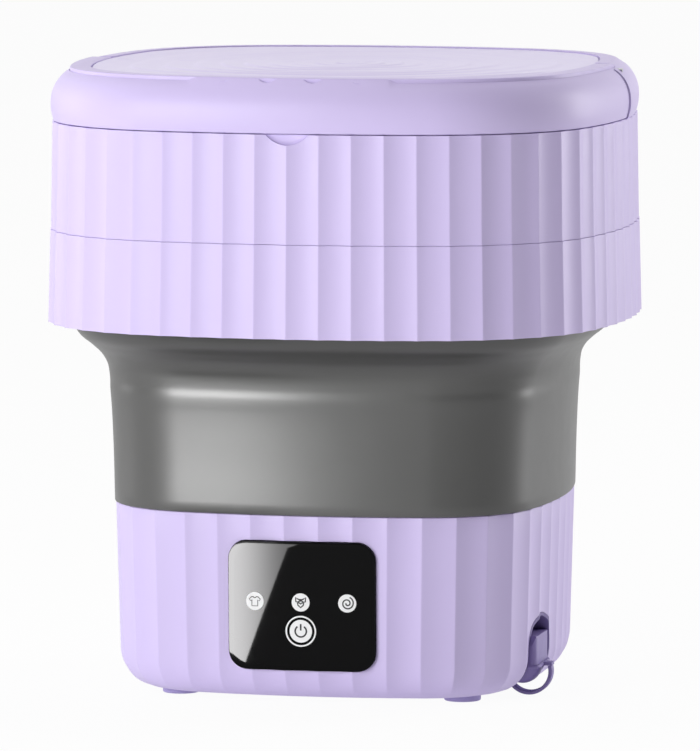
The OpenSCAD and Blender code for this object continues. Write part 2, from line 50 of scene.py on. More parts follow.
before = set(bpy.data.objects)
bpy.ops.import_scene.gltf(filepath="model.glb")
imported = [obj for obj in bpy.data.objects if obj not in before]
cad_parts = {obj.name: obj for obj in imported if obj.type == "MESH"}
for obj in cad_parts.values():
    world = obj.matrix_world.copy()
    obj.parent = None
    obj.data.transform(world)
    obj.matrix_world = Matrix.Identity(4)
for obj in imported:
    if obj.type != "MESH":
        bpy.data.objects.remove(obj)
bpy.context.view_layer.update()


class Body(Enum):
    """The CAD bodies that pieces ride on."""

    BASE = "base"
    RING = "ring"
    LID = "lid"
    BAIL = "bail"
    DRIVE = "drive"
    STOPPER = "stopper"


# ------------------------------------------------------------------ shader sheets


class Wire:
    """A shader socket whose arithmetic adds Math nodes."""

    def __init__(self, sheet: "NodeSheet", socket: bpy.types.NodeSocket) -> None:
        """Keeps the sheet and the socket."""
        self.sheet = sheet
        self.socket = socket

    def _maths(self, operation: str, first: "Wire | float", second: "Wire | float") -> "Wire":
        """Adds a Math node.

        Args:
            operation: the node's operation.
            first: its first value.
            second: its second value.

        Returns:
            The node's result.
        """
        return self.sheet.node("ShaderNodeMath", {"operation": operation}, {0: first, 1: second})

    def __add__(self, other: "Wire | float") -> "Wire":
        """Sum."""
        return self._maths("ADD", self, other)

    __radd__ = __add__

    def __sub__(self, other: "Wire | float") -> "Wire":
        """Difference."""
        return self._maths("SUBTRACT", self, other)

    def __rsub__(self, other: "Wire | float") -> "Wire":
        """Reflected difference."""
        return self._maths("SUBTRACT", other, self)

    def __mul__(self, other: "Wire | float") -> "Wire":
        """Product."""
        return self._maths("MULTIPLY", self, other)

    __rmul__ = __mul__


class NodeSheet:
    """A node tree with one way of adding nodes."""

    def __init__(self, tree: bpy.types.NodeTree) -> None:
        """Empties the tree."""
        self.tree = tree
        tree.nodes.clear()

    def node(self, kind: str, settings: dict, inputs: dict, output: int | str = 0) -> Wire | None:
        """Adds a node.

        Args:
            kind: the node's type.
            settings: its properties, set first; "stops" gives a ramp's positions and colours.
            inputs: values or wires by socket name or number.
            output: the output that is wanted.

        Returns:
            The wanted output.
        """
        made = self.tree.nodes.new(kind)
        for name, value in settings.items():
            if name == "stops":
                ramp = made.color_ramp
                while len(ramp.elements) < len(value):
                    ramp.elements.new(1.0)
                for element, (place, colour) in zip(ramp.elements, value):
                    element.position = place
                    element.color = (*colour, 1.0)
            else:
                setattr(made, name, value)
        for name, value in inputs.items():
            if isinstance(value, Wire):
                self.tree.links.new(value.socket, made.inputs[name])
            else:
                made.inputs[name].default_value = value
        return Wire(self, made.outputs[output]) if len(made.outputs) else None

    def blend(self, factor: Wire | float, first: Wire | tuple, second: Wire | tuple) -> Wire:
        """Mixes two colours.

        Args:
            factor: share of the second colour.
            first: a wire or a colour.
            second: a wire or a colour.

        Returns:
            The mixed colour.
        """
        colours = [c if isinstance(c, Wire) else (*c, 1.0) for c in (first, second)]
        inputs = {0: factor, 6: colours[0], 7: colours[1]}
        return self.node("ShaderNodeMix", {"data_type": "RGBA"}, inputs, 2)


def fresh_material(name: str) -> tuple[bpy.types.Material, NodeSheet]:
    """Makes an empty material.

    Args:
        name: the material's name.

    Returns:
        The material and its node sheet.
    """
    made = bpy.data.materials.new(name)
    made.use_nodes = True
    return made, NodeSheet(made.node_tree)


# ------------------------------------------------------------------ finishes


@dataclass(frozen=True)
class Finish:
    """A moulded surface: its colour with soft mottling, its gloss, and its fine grain."""

    slot: str
    colour: tuple[float, float, float]
    shade: tuple[float, float, float]
    roughness: float
    spread: float = 0.06
    grain: float = 2600.0
    relief: float = 0.00002
    metallic: float = 0.0
    specular: float = 0.5
    coat: float = 0.0

    def place(self, sheet: NodeSheet) -> Wire:
        """Point on the piece in metres."""
        return sheet.node("ShaderNodeTexCoord", {}, {}, "Object")

    def relief_height(self, sheet: NodeSheet, place: Wire) -> Wire:
        """Height of the fine grain, from 0 to 1."""
        return sheet.node("ShaderNodeTexNoise", {}, {"Vector": place, "Scale": self.grain, "Detail": 2.0})

    def pigment(self, sheet: NodeSheet, place: Wire) -> Wire:
        """Colour over the surface."""
        cloud = sheet.node("ShaderNodeTexNoise", {}, {"Vector": place, "Scale": 22.0, "Detail": 3.0})
        return sheet.blend(cloud, self.colour, self.shade)

    def material(self) -> bpy.types.Material:
        """Makes the finish's material once.

        Returns:
            The material.
        """
        name = self.slot + "_finish"
        if name in bpy.data.materials:
            return bpy.data.materials[name]
        made, sheet = fresh_material(name)
        place = self.place(sheet)
        worn = sheet.node("ShaderNodeTexNoise", {}, {"Vector": place, "Scale": 90.0, "Detail": 4.0})
        normal = sheet.node(
            "ShaderNodeBump",
            {},
            {"Strength": 1.0, "Distance": self.relief, "Height": self.relief_height(sheet, place)},
        )
        surface = sheet.node(
            "ShaderNodeBsdfPrincipled",
            {},
            {
                "Base Color": self.pigment(sheet, place),
                "Roughness": (worn - 0.5) * (2 * self.spread) + self.roughness,
                "Metallic": self.metallic,
                "Specular IOR Level": self.specular,
                "Coat Weight": self.coat,
                "Coat Roughness": 0.08,
                "Normal": normal,
            },
        )
        sheet.node("ShaderNodeOutputMaterial", {}, {"Surface": surface})
        return made

    def dress(self, piece: bpy.types.Object) -> bpy.types.Object:
        """Puts the finish on a piece.

        Args:
            piece: a mesh object.

        Returns:
            The same piece.
        """
        piece.data.materials.clear()
        piece.data.materials.append(self.material())
        return piece


@dataclass(frozen=True)
class Brushed(Finish):
    """Metal with fine drawn lines along Z."""

    def relief_height(self, sheet: NodeSheet, place: Wire) -> Wire:
        """Height of the drawn lines."""
        stretched = sheet.node("ShaderNodeMapping", {}, {"Vector": place, "Scale": (1.0, 1.0, 0.04)})
        return sheet.node("ShaderNodeTexNoise", {}, {"Vector": stretched, "Scale": self.grain, "Detail": 3.0})


@dataclass(frozen=True)
class Circuit(Finish):
    """Solder mask over copper tracks."""

    def relief_height(self, sheet: NodeSheet, place: Wire) -> Wire:
        """Height of the tracks."""
        return sheet.node(
            "ShaderNodeTexBrick",
            {"offset": 0.37, "squash": 0.6, "squash_frequency": 3},
            {"Vector": place, "Scale": 260.0, "Mortar Size": 0.08},
            "Fac",
        )

    def pigment(self, sheet: NodeSheet, place: Wire) -> Wire:
        """Darker mask beside the tracks."""
        return sheet.blend(self.relief_height(sheet, place), self.colour, self.shade)


class Finishes:
    """Every finish of the washer."""

    lilac = Finish(
        "lilac_shell", (0.650, 0.560, 0.862), (0.637, 0.545, 0.854), 0.42, relief=0.000012, specular=0.36
    )
    sleeve = Finish(
        "sleeve_grey", (0.030, 0.030, 0.0292), (0.026, 0.026, 0.0253), 0.33, 0.03, 3400.0, 0.000006,
        specular=1.0,
    )
    tub = Finish("pale_tub", (0.700, 0.630, 0.920), (0.685, 0.612, 0.912), 0.36, relief=0.00001)
    # the top disc's finish is the lilac made lighter: painted light for the lit top of the lid
    top = Finish("ripple_top", (0.760, 0.680, 0.955), (0.750, 0.668, 0.950), 0.34, relief=0.00001)
    glass = Finish(
        "black_glass", (0.002, 0.002, 0.0022), (0.003, 0.003, 0.0032), 0.05, 0.01, 300.0, 0.0000004, 0.0, 0.09
    )
    ink = Finish("white_print", (0.90, 0.90, 0.905), (0.87, 0.87, 0.88), 0.45, relief=0.000004)
    steel = Brushed("steel", (0.62, 0.63, 0.65), (0.55, 0.56, 0.58), 0.30, metallic=1.0)
    bracket = Brushed("bracket_steel", (0.11, 0.11, 0.12), (0.09, 0.09, 0.10), 0.42, metallic=0.7)
    board = Circuit("board_green", (0.010, 0.105, 0.045), (0.006, 0.060, 0.028), 0.32, relief=0.00003)
    black = Finish("black_rubber", (0.030, 0.030, 0.031), (0.020, 0.020, 0.021), 0.60)
    jack = Finish("jack_black", (0.022, 0.022, 0.024), (0.016, 0.016, 0.018), 0.30)
    nylon = Finish("gear_nylon", (0.83, 0.78, 0.62), (0.80, 0.74, 0.57), 0.38)
    foot = Finish("foot_rubber", (0.430, 0.370, 0.660), (0.400, 0.340, 0.630), 0.55)
    seal = Finish("seal_rubber", (0.50, 0.49, 0.56), (0.46, 0.45, 0.52), 0.60)
    # the stopper's finish is the lilac made darker: painted shade for the stopper deep in the drain's recess
    stopper = Finish("drain_lilac", (0.250, 0.190, 0.460), (0.235, 0.176, 0.440), 0.42)
    # the niche's finish is the lilac made darker: painted shade for the inside of the drain's recess
    niche = Finish("drain_inner", (0.200, 0.150, 0.370), (0.185, 0.138, 0.350), 0.45)


# ------------------------------------------------------------------ shapes


@dataclass(frozen=True)
class Plan:
    """Bulged square with round corners; face and corner radius are shares of its half width."""

    face: float
    corner: float

    def at(self, half: float, turns: np.ndarray, inset: np.ndarray | float = 0.0) -> np.ndarray:
        """Points of the outline.

        Args:
            half: half width across the faces.
            turns: quarter turns from the middle of the front face.
            inset: how far inwards the points lie.

        Returns:
            Their x and y.
        """
        radius, round_r = self.face * half, self.corner * half
        start = math.acos(-(1 - self.face) / (self.face - self.corner) / math.sqrt(2)) - math.pi / 4
        centre = half - radius + (radius - round_r) * math.cos(start)
        arc = radius * start
        quarter = 2 * arc + round_r * (QUARTER - 2 * start)
        face = np.round(turns)
        along = np.abs(turns - face) * quarter
        flat = along <= arc
        angle = np.where(flat, along / radius, start + (along - arc) / round_r)
        reach = np.where(flat, radius, round_r) - inset
        out = np.where(flat, half - radius, centre) + reach * np.cos(angle)
        side = np.where(flat, 0.0, centre) + reach * np.sin(angle)
        side = side * np.sign(turns - face)
        heading = QUARTER * (face - 1)
        cos, sin = np.cos(heading), np.sin(heading)
        return np.stack([out * cos - side * sin, out * sin + side * cos], -1)

    def ring(
        self, half: float, z: np.ndarray | float, turns: np.ndarray, inset: np.ndarray | float = 0.0
    ) -> np.ndarray:
        """The outline's points with their height z."""
        return np.column_stack([self.at(half, turns, inset), np.broadcast_to(z, turns.shape)])

    def towards(self, other: "Plan", share: float) -> "Plan":
        """A plan between this one and another."""
        face = self.face + share * (other.face - self.face)
        return Plan(face, self.corner + share * (other.corner - self.corner))


RING_PLAN = Plan(2.23, 0.60)
BASE_PLAN = Plan(3.04, 0.50)


@dataclass(frozen=True)
class Flutes:
    """Shallow hollows between crisp edges round an outline; steps are shares of one flute."""

    count: int
    depth: float = 1.3
    phase: float = 0.0
    edge: float = 0.014
    steps: tuple[float, ...] = (
        0, 0.012, 0.03, 0.07, 0.14, 0.23, 0.33, 0.44, 0.56, 0.67, 0.77, 0.86, 0.93, 0.97, 0.988,
    )

    def turns(self) -> np.ndarray:
        """Places round the outline in quarter turns."""
        share = (np.arange(self.count)[:, None] + np.array(self.steps)[None, :]).ravel()
        return 4 * (share + self.phase) / self.count

    def hollow(self) -> np.ndarray:
        """Depth of the hollow at each place."""
        share = np.tile(np.array(self.steps), self.count)
        near = np.sqrt(np.minimum(share, 1 - share) ** 2 + self.edge**2)
        return 4 * self.depth * near * (1 - near)


def even(count: int) -> np.ndarray:
    """Evenly spaced places round an outline, in quarter turns."""
    return 4 * np.arange(count) / count


def smooth_line(points: list[tuple[float, float]], steps: int) -> np.ndarray:
    """Smooth line through points.

    Args:
        points: half widths and heights.
        steps: pieces between two points.

    Returns:
        Its points.
    """
    p = np.array(points, float)
    gaps = np.linalg.norm(np.diff(p, axis=0), axis=1)
    slopes = np.diff(p, axis=0) / gaps[:, None]
    inner = (slopes[:-1] * gaps[1:, None] + slopes[1:] * gaps[:-1, None]) / (gaps[:-1] + gaps[1:])[:, None]
    tangent = np.vstack([slopes[:1], inner, slopes[-1:]])
    made = []
    for k, gap in enumerate(gaps):
        t = np.arange(steps)[:, None] / steps
        made.append(
            (2 * t**3 - 3 * t**2 + 1) * p[k]
            + (t**3 - 2 * t**2 + t) * gap * tangent[k]
            + (3 * t**2 - 2 * t**3) * p[k + 1]
            + (t**3 - t**2) * gap * tangent[k + 1]
        )
    return np.vstack([*made, p[-1:]])


def finish_mesh(name: str, points: np.ndarray, faces: list) -> bpy.types.Object:
    """Makes a mesh object with outward faces.

    Args:
        name: the piece's name.
        points: vertices in millimetres.
        faces: lists of vertex numbers.

    Returns:
        The object, linked to the scene.
    """
    mesh = bpy.data.meshes.new(name)
    mesh.from_pydata((np.asarray(points) * MM).tolist(), [], faces)
    work = bmesh.new()
    work.from_mesh(mesh)
    bmesh.ops.recalc_face_normals(work, faces=work.faces)
    work.to_mesh(mesh)
    work.free()
    piece = bpy.data.objects.new(name, mesh)
    bpy.context.scene.collection.objects.link(piece)
    return shade(piece)


def shade(piece: bpy.types.Object, angle: float = SMOOTH_ANGLE) -> bpy.types.Object:
    """Smooth shading with crisp edges above an angle."""
    piece.data.shade_smooth()
    piece.data.set_sharp_from_angle(angle=angle)
    return piece


def quads(rows: int, count: int, closed: bool) -> list:
    """Faces between rows of points.

    Args:
        rows: number of rows.
        count: points in a row.
        closed: whether the last row joins the first.

    Returns:
        The faces.
    """
    i = np.arange(count)
    j = (i + 1) % count
    made = []
    for k in range(rows if closed else rows - 1):
        a, b = k * count, (k + 1) % rows * count
        made.extend(np.stack([a + i, a + j, b + j, b + i], -1).tolist())
    return made


def wall(name: str, rings: list[np.ndarray]) -> bpy.types.Object:
    """Closed wall through a loop of rings."""
    return finish_mesh(name, np.vstack(rings), quads(len(rings), len(rings[0]), True))


def solid(name: str, rings: list[np.ndarray]) -> bpy.types.Object:
    """Solid through a stack of rings, with its two ends filled round their middles."""
    count = len(rings[0])
    points = np.vstack([*rings, rings[0].mean(0), rings[-1].mean(0)])
    faces = quads(len(rings), count, False)
    low, high, last = len(points) - 2, len(points) - 1, (len(rings) - 1) * count
    for i in range(count):
        j = (i + 1) % count
        faces += [[i, low, j], [last + i, last + j, high]]
    return finish_mesh(name, points, faces)


def block(
    name: str, plan: Plan, half: float, low: float, high: float, count: int = 320
) -> bpy.types.Object:
    """Straight solid on a plan."""
    turns = even(count)
    return solid(name, [plan.ring(half, low, turns), plan.ring(half, high, turns)])


def slab(name: str, low: tuple[float, float, float], high: tuple[float, float, float]) -> bpy.types.Object:
    """Cutting box between two corners."""
    corners = np.array([[low[0], low[1]], [high[0], low[1]], [high[0], high[1]], [low[0], high[1]]], float)
    return solid(name, [np.column_stack([corners, np.full(4, z)]) for z in (low[2], high[2])])


def turned(
    name: str, profile: np.ndarray, centre: tuple[float, float, float], axis: str = "z", count: int = 96
) -> bpy.types.Object:
    """Turned solid.

    Args:
        name: the piece's name.
        profile: radii and places along the axis, from end to end.
        centre: the axis's zero point.
        axis: "x", "y" or "z".
        count: points round it.

    Returns:
        The piece.
    """
    angle = FULL * np.arange(count) / count
    order = {"x": (2, 0, 1), "y": (1, 2, 0), "z": (0, 1, 2)}[axis]
    rings = []
    for radius, along in profile:
        local = np.column_stack([radius * np.cos(angle), radius * np.sin(angle), np.full(count, along)])
        rings.append(local[:, order] + np.array(centre))
    return solid(name, rings)


def rounded(radius: float, low: float, high: float, edge: float, steps: int = 5) -> np.ndarray:
    """Profile of a disc with rounded edges, as radii and heights."""
    angle = np.linspace(0, QUARTER, steps + 1)
    bottom = np.column_stack([radius - edge + edge * np.sin(angle), low + edge - edge * np.cos(angle)])
    top = np.column_stack([radius - edge + edge * np.cos(angle), high - edge + edge * np.sin(angle)])
    return np.vstack([bottom, top])


def carve(
    piece: bpy.types.Object, tools: list[bpy.types.Object], operation: str = "DIFFERENCE"
) -> bpy.types.Object:
    """Cuts tools out of a piece, or joins them to it.

    Args:
        piece: the piece.
        tools: closed meshes, removed afterwards.
        operation: the kind of Boolean.

    Returns:
        The piece with its new mesh.
    """
    for tool in tools:
        step = piece.modifiers.new("cut", "BOOLEAN")
        step.operation, step.solver, step.object = operation, "EXACT", tool
        graph = bpy.context.evaluated_depsgraph_get()
        mesh = bpy.data.meshes.new_from_object(piece.evaluated_get(graph))
        piece.modifiers.clear()
        piece.data = mesh
        bpy.data.objects.remove(tool)
    piece.data.name = piece.name
    return shade(piece)


def joined(name: str, parts: list[bpy.types.Object]) -> bpy.types.Object:
    """Puts separate meshes into one piece.

    Args:
        name: the piece's name.
        parts: objects at the origin, removed afterwards.

    Returns:
        The piece.
    """
    work = bmesh.new()
    for part in parts:
        work.from_mesh(part.data)
        bpy.data.objects.remove(part)
    mesh = bpy.data.meshes.new(name)
    work.to_mesh(mesh)
    work.free()
    piece = bpy.data.objects.new(name, mesh)
    bpy.context.scene.collection.objects.link(piece)
    return shade(piece)


def fit(piece: bpy.types.Object, body: Body, finish: Finish, *nodes: str) -> bpy.types.Object:
    """Dresses a new piece, lets it ride, and has it stand for CAD nodes.

    Args:
        piece: the piece.
        body: what it rides on.
        finish: what it is made of.
        nodes: the CAD nodes it stands for.

    Returns:
        The piece.
    """
    finish.dress(piece)
    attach(piece, body.value)
    if nodes:
        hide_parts(*nodes)
    LOG.info("%s: %d faces", piece.name, len(piece.data.polygons))
    return piece


# ------------------------------------------------------------------ sizes that pieces share


@dataclass(frozen=True)
class Niche:
    """The drain's arch in the base: its middle, its radius, and how far in and out it is cut."""

    y: float = -35.0
    z: float = 22.0
    radius: float = 18.0
    reach: tuple[float, float] = (78.0, 125.0)

    def arch(self, name: str, radius: float, low: float, reach: tuple[float, float]) -> bpy.types.Object:
        """Arch-shaped prism round the niche's middle.

        Args:
            name: its name.
            radius: the arch's radius.
            low: where its legs end.
            reach: where it starts and ends along X.

        Returns:
            The prism.
        """
        angle = np.linspace(0, math.pi, 49)
        line = np.column_stack([radius * np.cos(angle), self.z + radius * np.sin(angle)])
        line = np.vstack([line, [[-radius, low], [radius, low]]])
        rings = [np.column_stack([np.full(len(line), x), self.y + line[:, 0], line[:, 1]]) for x in reach]
        return solid(name, rings)


@dataclass(frozen=True)
class BailSize:
    """Section and pivot of the bail; half is the half width across its outside."""

    half: float = 129.4
    width: float = 9.8
    top: float = 301.0
    thick: float = 6.7
    pivot_y: float = 8.0


NICHE = Niche()
BAIL = BailSize()
BASE_HALF = 106.7


# ------------------------------------------------------------------ base


@dataclass
class BaseUnit:
    """Fluted lower housing on four feet."""

    half: float = BASE_HALF
    foot_half: float = 104.8
    top: float = 92.0
    floor: float = 3.5
    toe: float = 17.0
    back: float = 4.0
    cover: float = 72.0
    jack: tuple[float, float] = (-45.0, 30.0)
    jack_r: float = 4.2
    feet: tuple[float, float] = (69.0, 60.0)
    foot_r: float = 8.8
    flutes: Flutes = field(default_factory=lambda: Flutes(44, phase=0.5))

    def half_at(self, z: float) -> float:
        """Half width at a height above the rounded lower edge."""
        low = self.floor + self.toe
        return self.foot_half + (self.half - self.foot_half) * (z - low) / (self.top - low)

    def outer(self) -> list[np.ndarray]:
        """Rings of the outside, from the underside up."""
        turns, hollow = self.flutes.turns(), self.flutes.hollow()
        rings = []
        for angle in np.linspace(0, QUARTER, 13):
            inset = self.toe * (1 - math.sin(angle))
            fade = min(1.0, angle / QUARTER * 1.25)
            z = self.floor + self.toe * (1 - math.cos(angle))
            rings.append(BASE_PLAN.ring(self.foot_half, z, turns, inset + hollow * fade))
        for z in (40.0, 60.0, 80.0, self.top - 0.8):
            rings.append(BASE_PLAN.ring(self.half_at(z), z, turns, hollow))
        for drop, inset in ((0.3, 0.12), (0.0, 0.6)):
            rings.append(BASE_PLAN.ring(self.half, self.top - drop, turns, hollow + inset))
        return rings

    def build(self, panel: "TouchPanel") -> None:
        """Makes the housing and its feet.

        Args:
            panel: the touch panel, which gives the shape of its recess.
        """
        turns = self.flutes.turns()
        inside = [
            BASE_PLAN.ring(self.half, self.top, turns, self.back),
            BASE_PLAN.ring(self.foot_half, self.floor + self.toe, turns, self.back),
            BASE_PLAN.ring(self.foot_half, self.floor + 6, turns, self.toe / 2),
            BASE_PLAN.ring(self.foot_half, self.floor + 3, turns, self.toe),
            BASE_PLAN.ring(self.cover, self.floor + 3, turns),
            BASE_PLAN.ring(self.cover, self.floor, turns),
        ]
        shell = wall("base_housing", self.outer() + inside)
        bore = np.array([[self.jack_r, 0], [self.jack_r, 40]])
        jack = turned("jack_tool", bore, (self.jack[0], 80, self.jack[1]), "y", 48)
        niche = NICHE.arch("niche_tool", NICHE.radius, -1.0, NICHE.reach)
        carve(shell, [niche, panel.recess_tool(), jack])
        fit(shell, Body.BASE, Finishes.lilac, "base_shell")
        pin = [[2.4, self.floor], [2.4, self.floor + 2.8]]
        profile = np.vstack([rounded(self.foot_r, 0.0, self.floor, 0.7), pin])
        across, along = self.feet
        pads = [turned("foot", profile, (x * across, y * along, 0)) for x in (-1, 1) for y in (-1, 1)]
        fit(joined("foot_set", pads), Body.BASE, Finishes.foot, "foot_pads")


# ------------------------------------------------------------------ touch panel


class Mark(Enum):
    """Signs printed on the panel."""

    SHIRT = "shirt"
    BRIEFS = "briefs"
    SPIN = "spin"
    POWER = "power"


@dataclass
class TouchPanel:
    """Black glass panel bent to the base's front face, with printed signs."""

    width: float = 71.4
    height: float = 61.6
    corner: float = 9.0
    middle: float = 48.9
    thick: float = 3.0
    arc: float = BASE_PLAN.face * BASE_HALF
    face_y: float = 106.3
    tilt: float = math.radians(1.5)
    disc_r: float = 4.35
    edge: float = 0.4
    icon_x: float = 22.4
    icon_z: float = 2.0
    key_z: float = -11.8
    key_r: float = 5.45
    rim_r: float = 7.05
    rim_w: float = 0.72
    sunk: float = -0.05

    def bend(self, flat: np.ndarray, depth: np.ndarray | float) -> np.ndarray:
        """Moves flat points onto the panel.

        Args:
            flat: x and z on the panel's face.
            depth: how far outwards from the face.

        Returns:
            Points in the washer's frame.
        """
        radius = self.arc + depth
        turn = flat[:, 0] / self.arc
        y, z = self.arc - radius * np.cos(turn), flat[:, 1]
        cos, sin = math.cos(self.tilt), math.sin(self.tilt)
        return np.column_stack(
            [radius * np.sin(turn), y * cos - z * sin - self.face_y, y * sin + z * cos + self.middle]
        )

    def outline(self, grow: float, cut: float = 0.0, per_side: int = 24) -> np.ndarray:
        """Rounded rectangle with points along its sides, grown and then cut back."""
        corner = max(self.corner + grow - cut, 0.5)
        w, h = self.width / 2 + grow - cut, self.height / 2 + grow - cut
        angle = np.linspace(0, QUARTER, 13)
        made = []
        for k, (sx, sz) in enumerate(SQUARE):
            centre = np.array([sx * (w - corner), sz * (h - corner)])
            turn = angle + k * QUARTER
            made.append(centre + corner * np.column_stack([np.cos(turn), np.sin(turn)]))
        full = []
        for k in range(4):
            start, end = made[k][-1], made[(k + 1) % 4][0]
            step = np.linspace(0, 1, per_side + 2)[1:-1, None]
            full += [made[k], start + (end - start) * step]
        return np.vstack(full)

    def recess_tool(self) -> bpy.types.Object:
        """Cutter of the panel's recess."""
        flat = self.outline(0.3)
        return solid("recess_tool", [self.bend(flat, -12.0), self.bend(flat, 8.0)])

    def plate(
        self, name: str, flats: list[np.ndarray], low: float, high: float, edge: float
    ) -> bpy.types.Object:
        """Thin plates on the panel's face with a softened upper edge."""
        made = []
        for flat in flats:
            middle = flat.mean(0)
            reach = np.linalg.norm(flat - middle, axis=1, keepdims=True)
            inner = flat - (flat - middle) / reach * edge
            rings = [self.bend(flat, low), self.bend(flat, high - edge), self.bend(inner, high)]
            made.append(solid(name, rings))
        return joined(name, made)

    def stroke(
        self, name: str, line: np.ndarray, width: float, closed: bool, low: float, high: float
    ) -> bpy.types.Object:
        """Printed line on the panel's face."""
        if closed:
            ahead, behind = np.roll(line, -1, 0), np.roll(line, 1, 0)
        else:
            ahead, behind = np.vstack([line[1:], line[-1:]]), np.vstack([line[:1], line[:-1]])
        along = ahead - behind
        along = along / np.linalg.norm(along, axis=1, keepdims=True)
        side = np.column_stack([-along[:, 1], along[:, 0]]) * width / 2
        left, right = line + side, line - side
        rows = [self.bend(left, low), self.bend(left, high), self.bend(right, high), self.bend(right, low)]
        count = len(line)
        points = np.vstack(rows)
        faces = []
        last = count if closed else count - 1
        for k in range(4):
            a, b = k * count, (k + 1) % 4 * count
            faces += [[a + i, a + (i + 1) % count, b + (i + 1) % count, b + i] for i in range(last)]
        if not closed:
            faces += [[k * count for k in range(4)], [k * count + count - 1 for k in range(3, -1, -1)]]
        return finish_mesh(name, points, faces)

    def circle(
        self, x: float, z: float, radius: float, count: int = 72, start: float = 0.0, sweep: float = FULL
    ) -> np.ndarray:
        """Points on a circle, or on a part of it."""
        full = abs(sweep - FULL) < 1e-6
        angle = start + sweep * np.arange(count) / (count if full else count - 1)
        return np.column_stack([x + radius * np.cos(angle), z + radius * np.sin(angle)])

    def sign(self, mark: Mark, x: float, z: float) -> list[tuple[np.ndarray, float, bool]]:
        """Lines of a sign.

        Args:
            mark: which sign.
            x: its middle across the panel.
            z: its middle up the panel.

        Returns:
            Lines, their widths, and whether they are closed.
        """
        at = np.array([x, z])
        if mark is Mark.SHIRT:
            half = [(0.75, 2.15), (1.55, 2.05), (2.75, 1.0), (2.1, 0.15), (1.45, 0.6), (1.45, -2.3)]
            line = half + [(-a, b) for a, b in reversed(half)]
            neck = [(-0.45, 1.72), (0.0, 1.58), (0.45, 1.72)]
            return [(at + np.array(line + neck), 0.40, True)]
        if mark is Mark.BRIEFS:
            half = [(0.55, 1.35), (1.3, 1.6), (2.4, 2.35), (2.3, 0.35), (1.25, 0.2), (0.5, 0.75)]
            top = half + [(-a, b) for a, b in reversed(half)]
            low = [
                (1.55, -0.35), (1.25, -1.35), (0.0, -2.45), (-1.25, -1.35), (-1.55, -0.35),
                (-0.6, -0.2), (0.0, -0.7), (0.6, -0.2),
            ]
            return [(at + np.array(top), 0.62, True), (at + np.array(low), 0.62, True)]
        if mark is Mark.SPIN:
            angle = np.linspace(0.3, 3.55 * math.pi, 70)
            radius = 0.5 + 2.5 * (angle - 0.3) / (3.25 * math.pi)
            line = np.column_stack([radius * np.cos(angle + 2.6), radius * np.sin(angle + 2.6)])
            return [(at + line, 0.62, False)]
        arc = self.circle(x, z, 2.7, 48, QUARTER + 0.62, FULL - 1.24)
        bar = at + np.array([(0.0, 3.5), (0.0, 1.9), (0.0, 0.4)])
        return [(arc, 0.75, False), (bar, 0.75, False)]

    def build(self) -> bpy.types.Object:
        """Makes the glass, the white discs and ring, and the dark signs.

        Returns:
            The glass.
        """
        edge = self.edge
        turn = np.linspace(0, QUARTER, 6)
        rings = [self.bend(self.outline(0.0), -self.thick)]
        for angle in turn:
            cut, sink = edge * (1 - math.cos(angle)), edge * (1 - math.sin(angle))
            rings.append(self.bend(self.outline(0.0, cut), -sink))
        glass = self.filled("touch_glass", rings)
        fit(glass, Body.BASE, Finishes.glass, "control_panel")
        xs = (-self.icon_x, 0.0, self.icon_x)
        spots = [self.circle(x, self.icon_z, self.disc_r) for x in xs]
        fit(self.plate("mode_discs", spots, self.sunk, 0.18, 0.06), Body.BASE, Finishes.ink, "panel_icons")
        rim = self.circle(0, self.key_z, self.rim_r)
        ring = self.stroke("key_rim", rim, self.rim_w, True, self.sunk, 0.3)
        fit(ring, Body.BASE, Finishes.ink, "key_ring")
        spot = self.circle(0, self.key_z, self.key_r)
        fit(self.plate("key_face", [spot], self.sunk, 0.25, 0.1), Body.BASE, Finishes.ink, "key_disc")
        for mark, x, z, top in (
            (Mark.SHIRT, xs[0], self.icon_z, 0.24),
            (Mark.BRIEFS, xs[1], self.icon_z, 0.24),
            (Mark.SPIN, xs[2], self.icon_z, 0.24),
            (Mark.POWER, 0.0, self.key_z, 0.31),
        ):
            lines = [
                self.stroke("line", line, width, closed, top - 0.12, top)
                for line, width, closed in self.sign(mark, x, z)
            ]
            fit(joined(mark.value + "_sign", lines), Body.BASE, Finishes.jack)
        return glass

    def filled(self, name: str, rings: list[np.ndarray]) -> bpy.types.Object:
        """Solid whose front is filled with ever smaller outlines, so that it keeps the arc."""
        flat = self.outline(0.0, self.edge)
        for share in np.linspace(0.92, 0.08, 14):
            rings.append(self.bend(flat * share, 0.0))
        return solid(name, rings)


# ------------------------------------------------------------------ drain


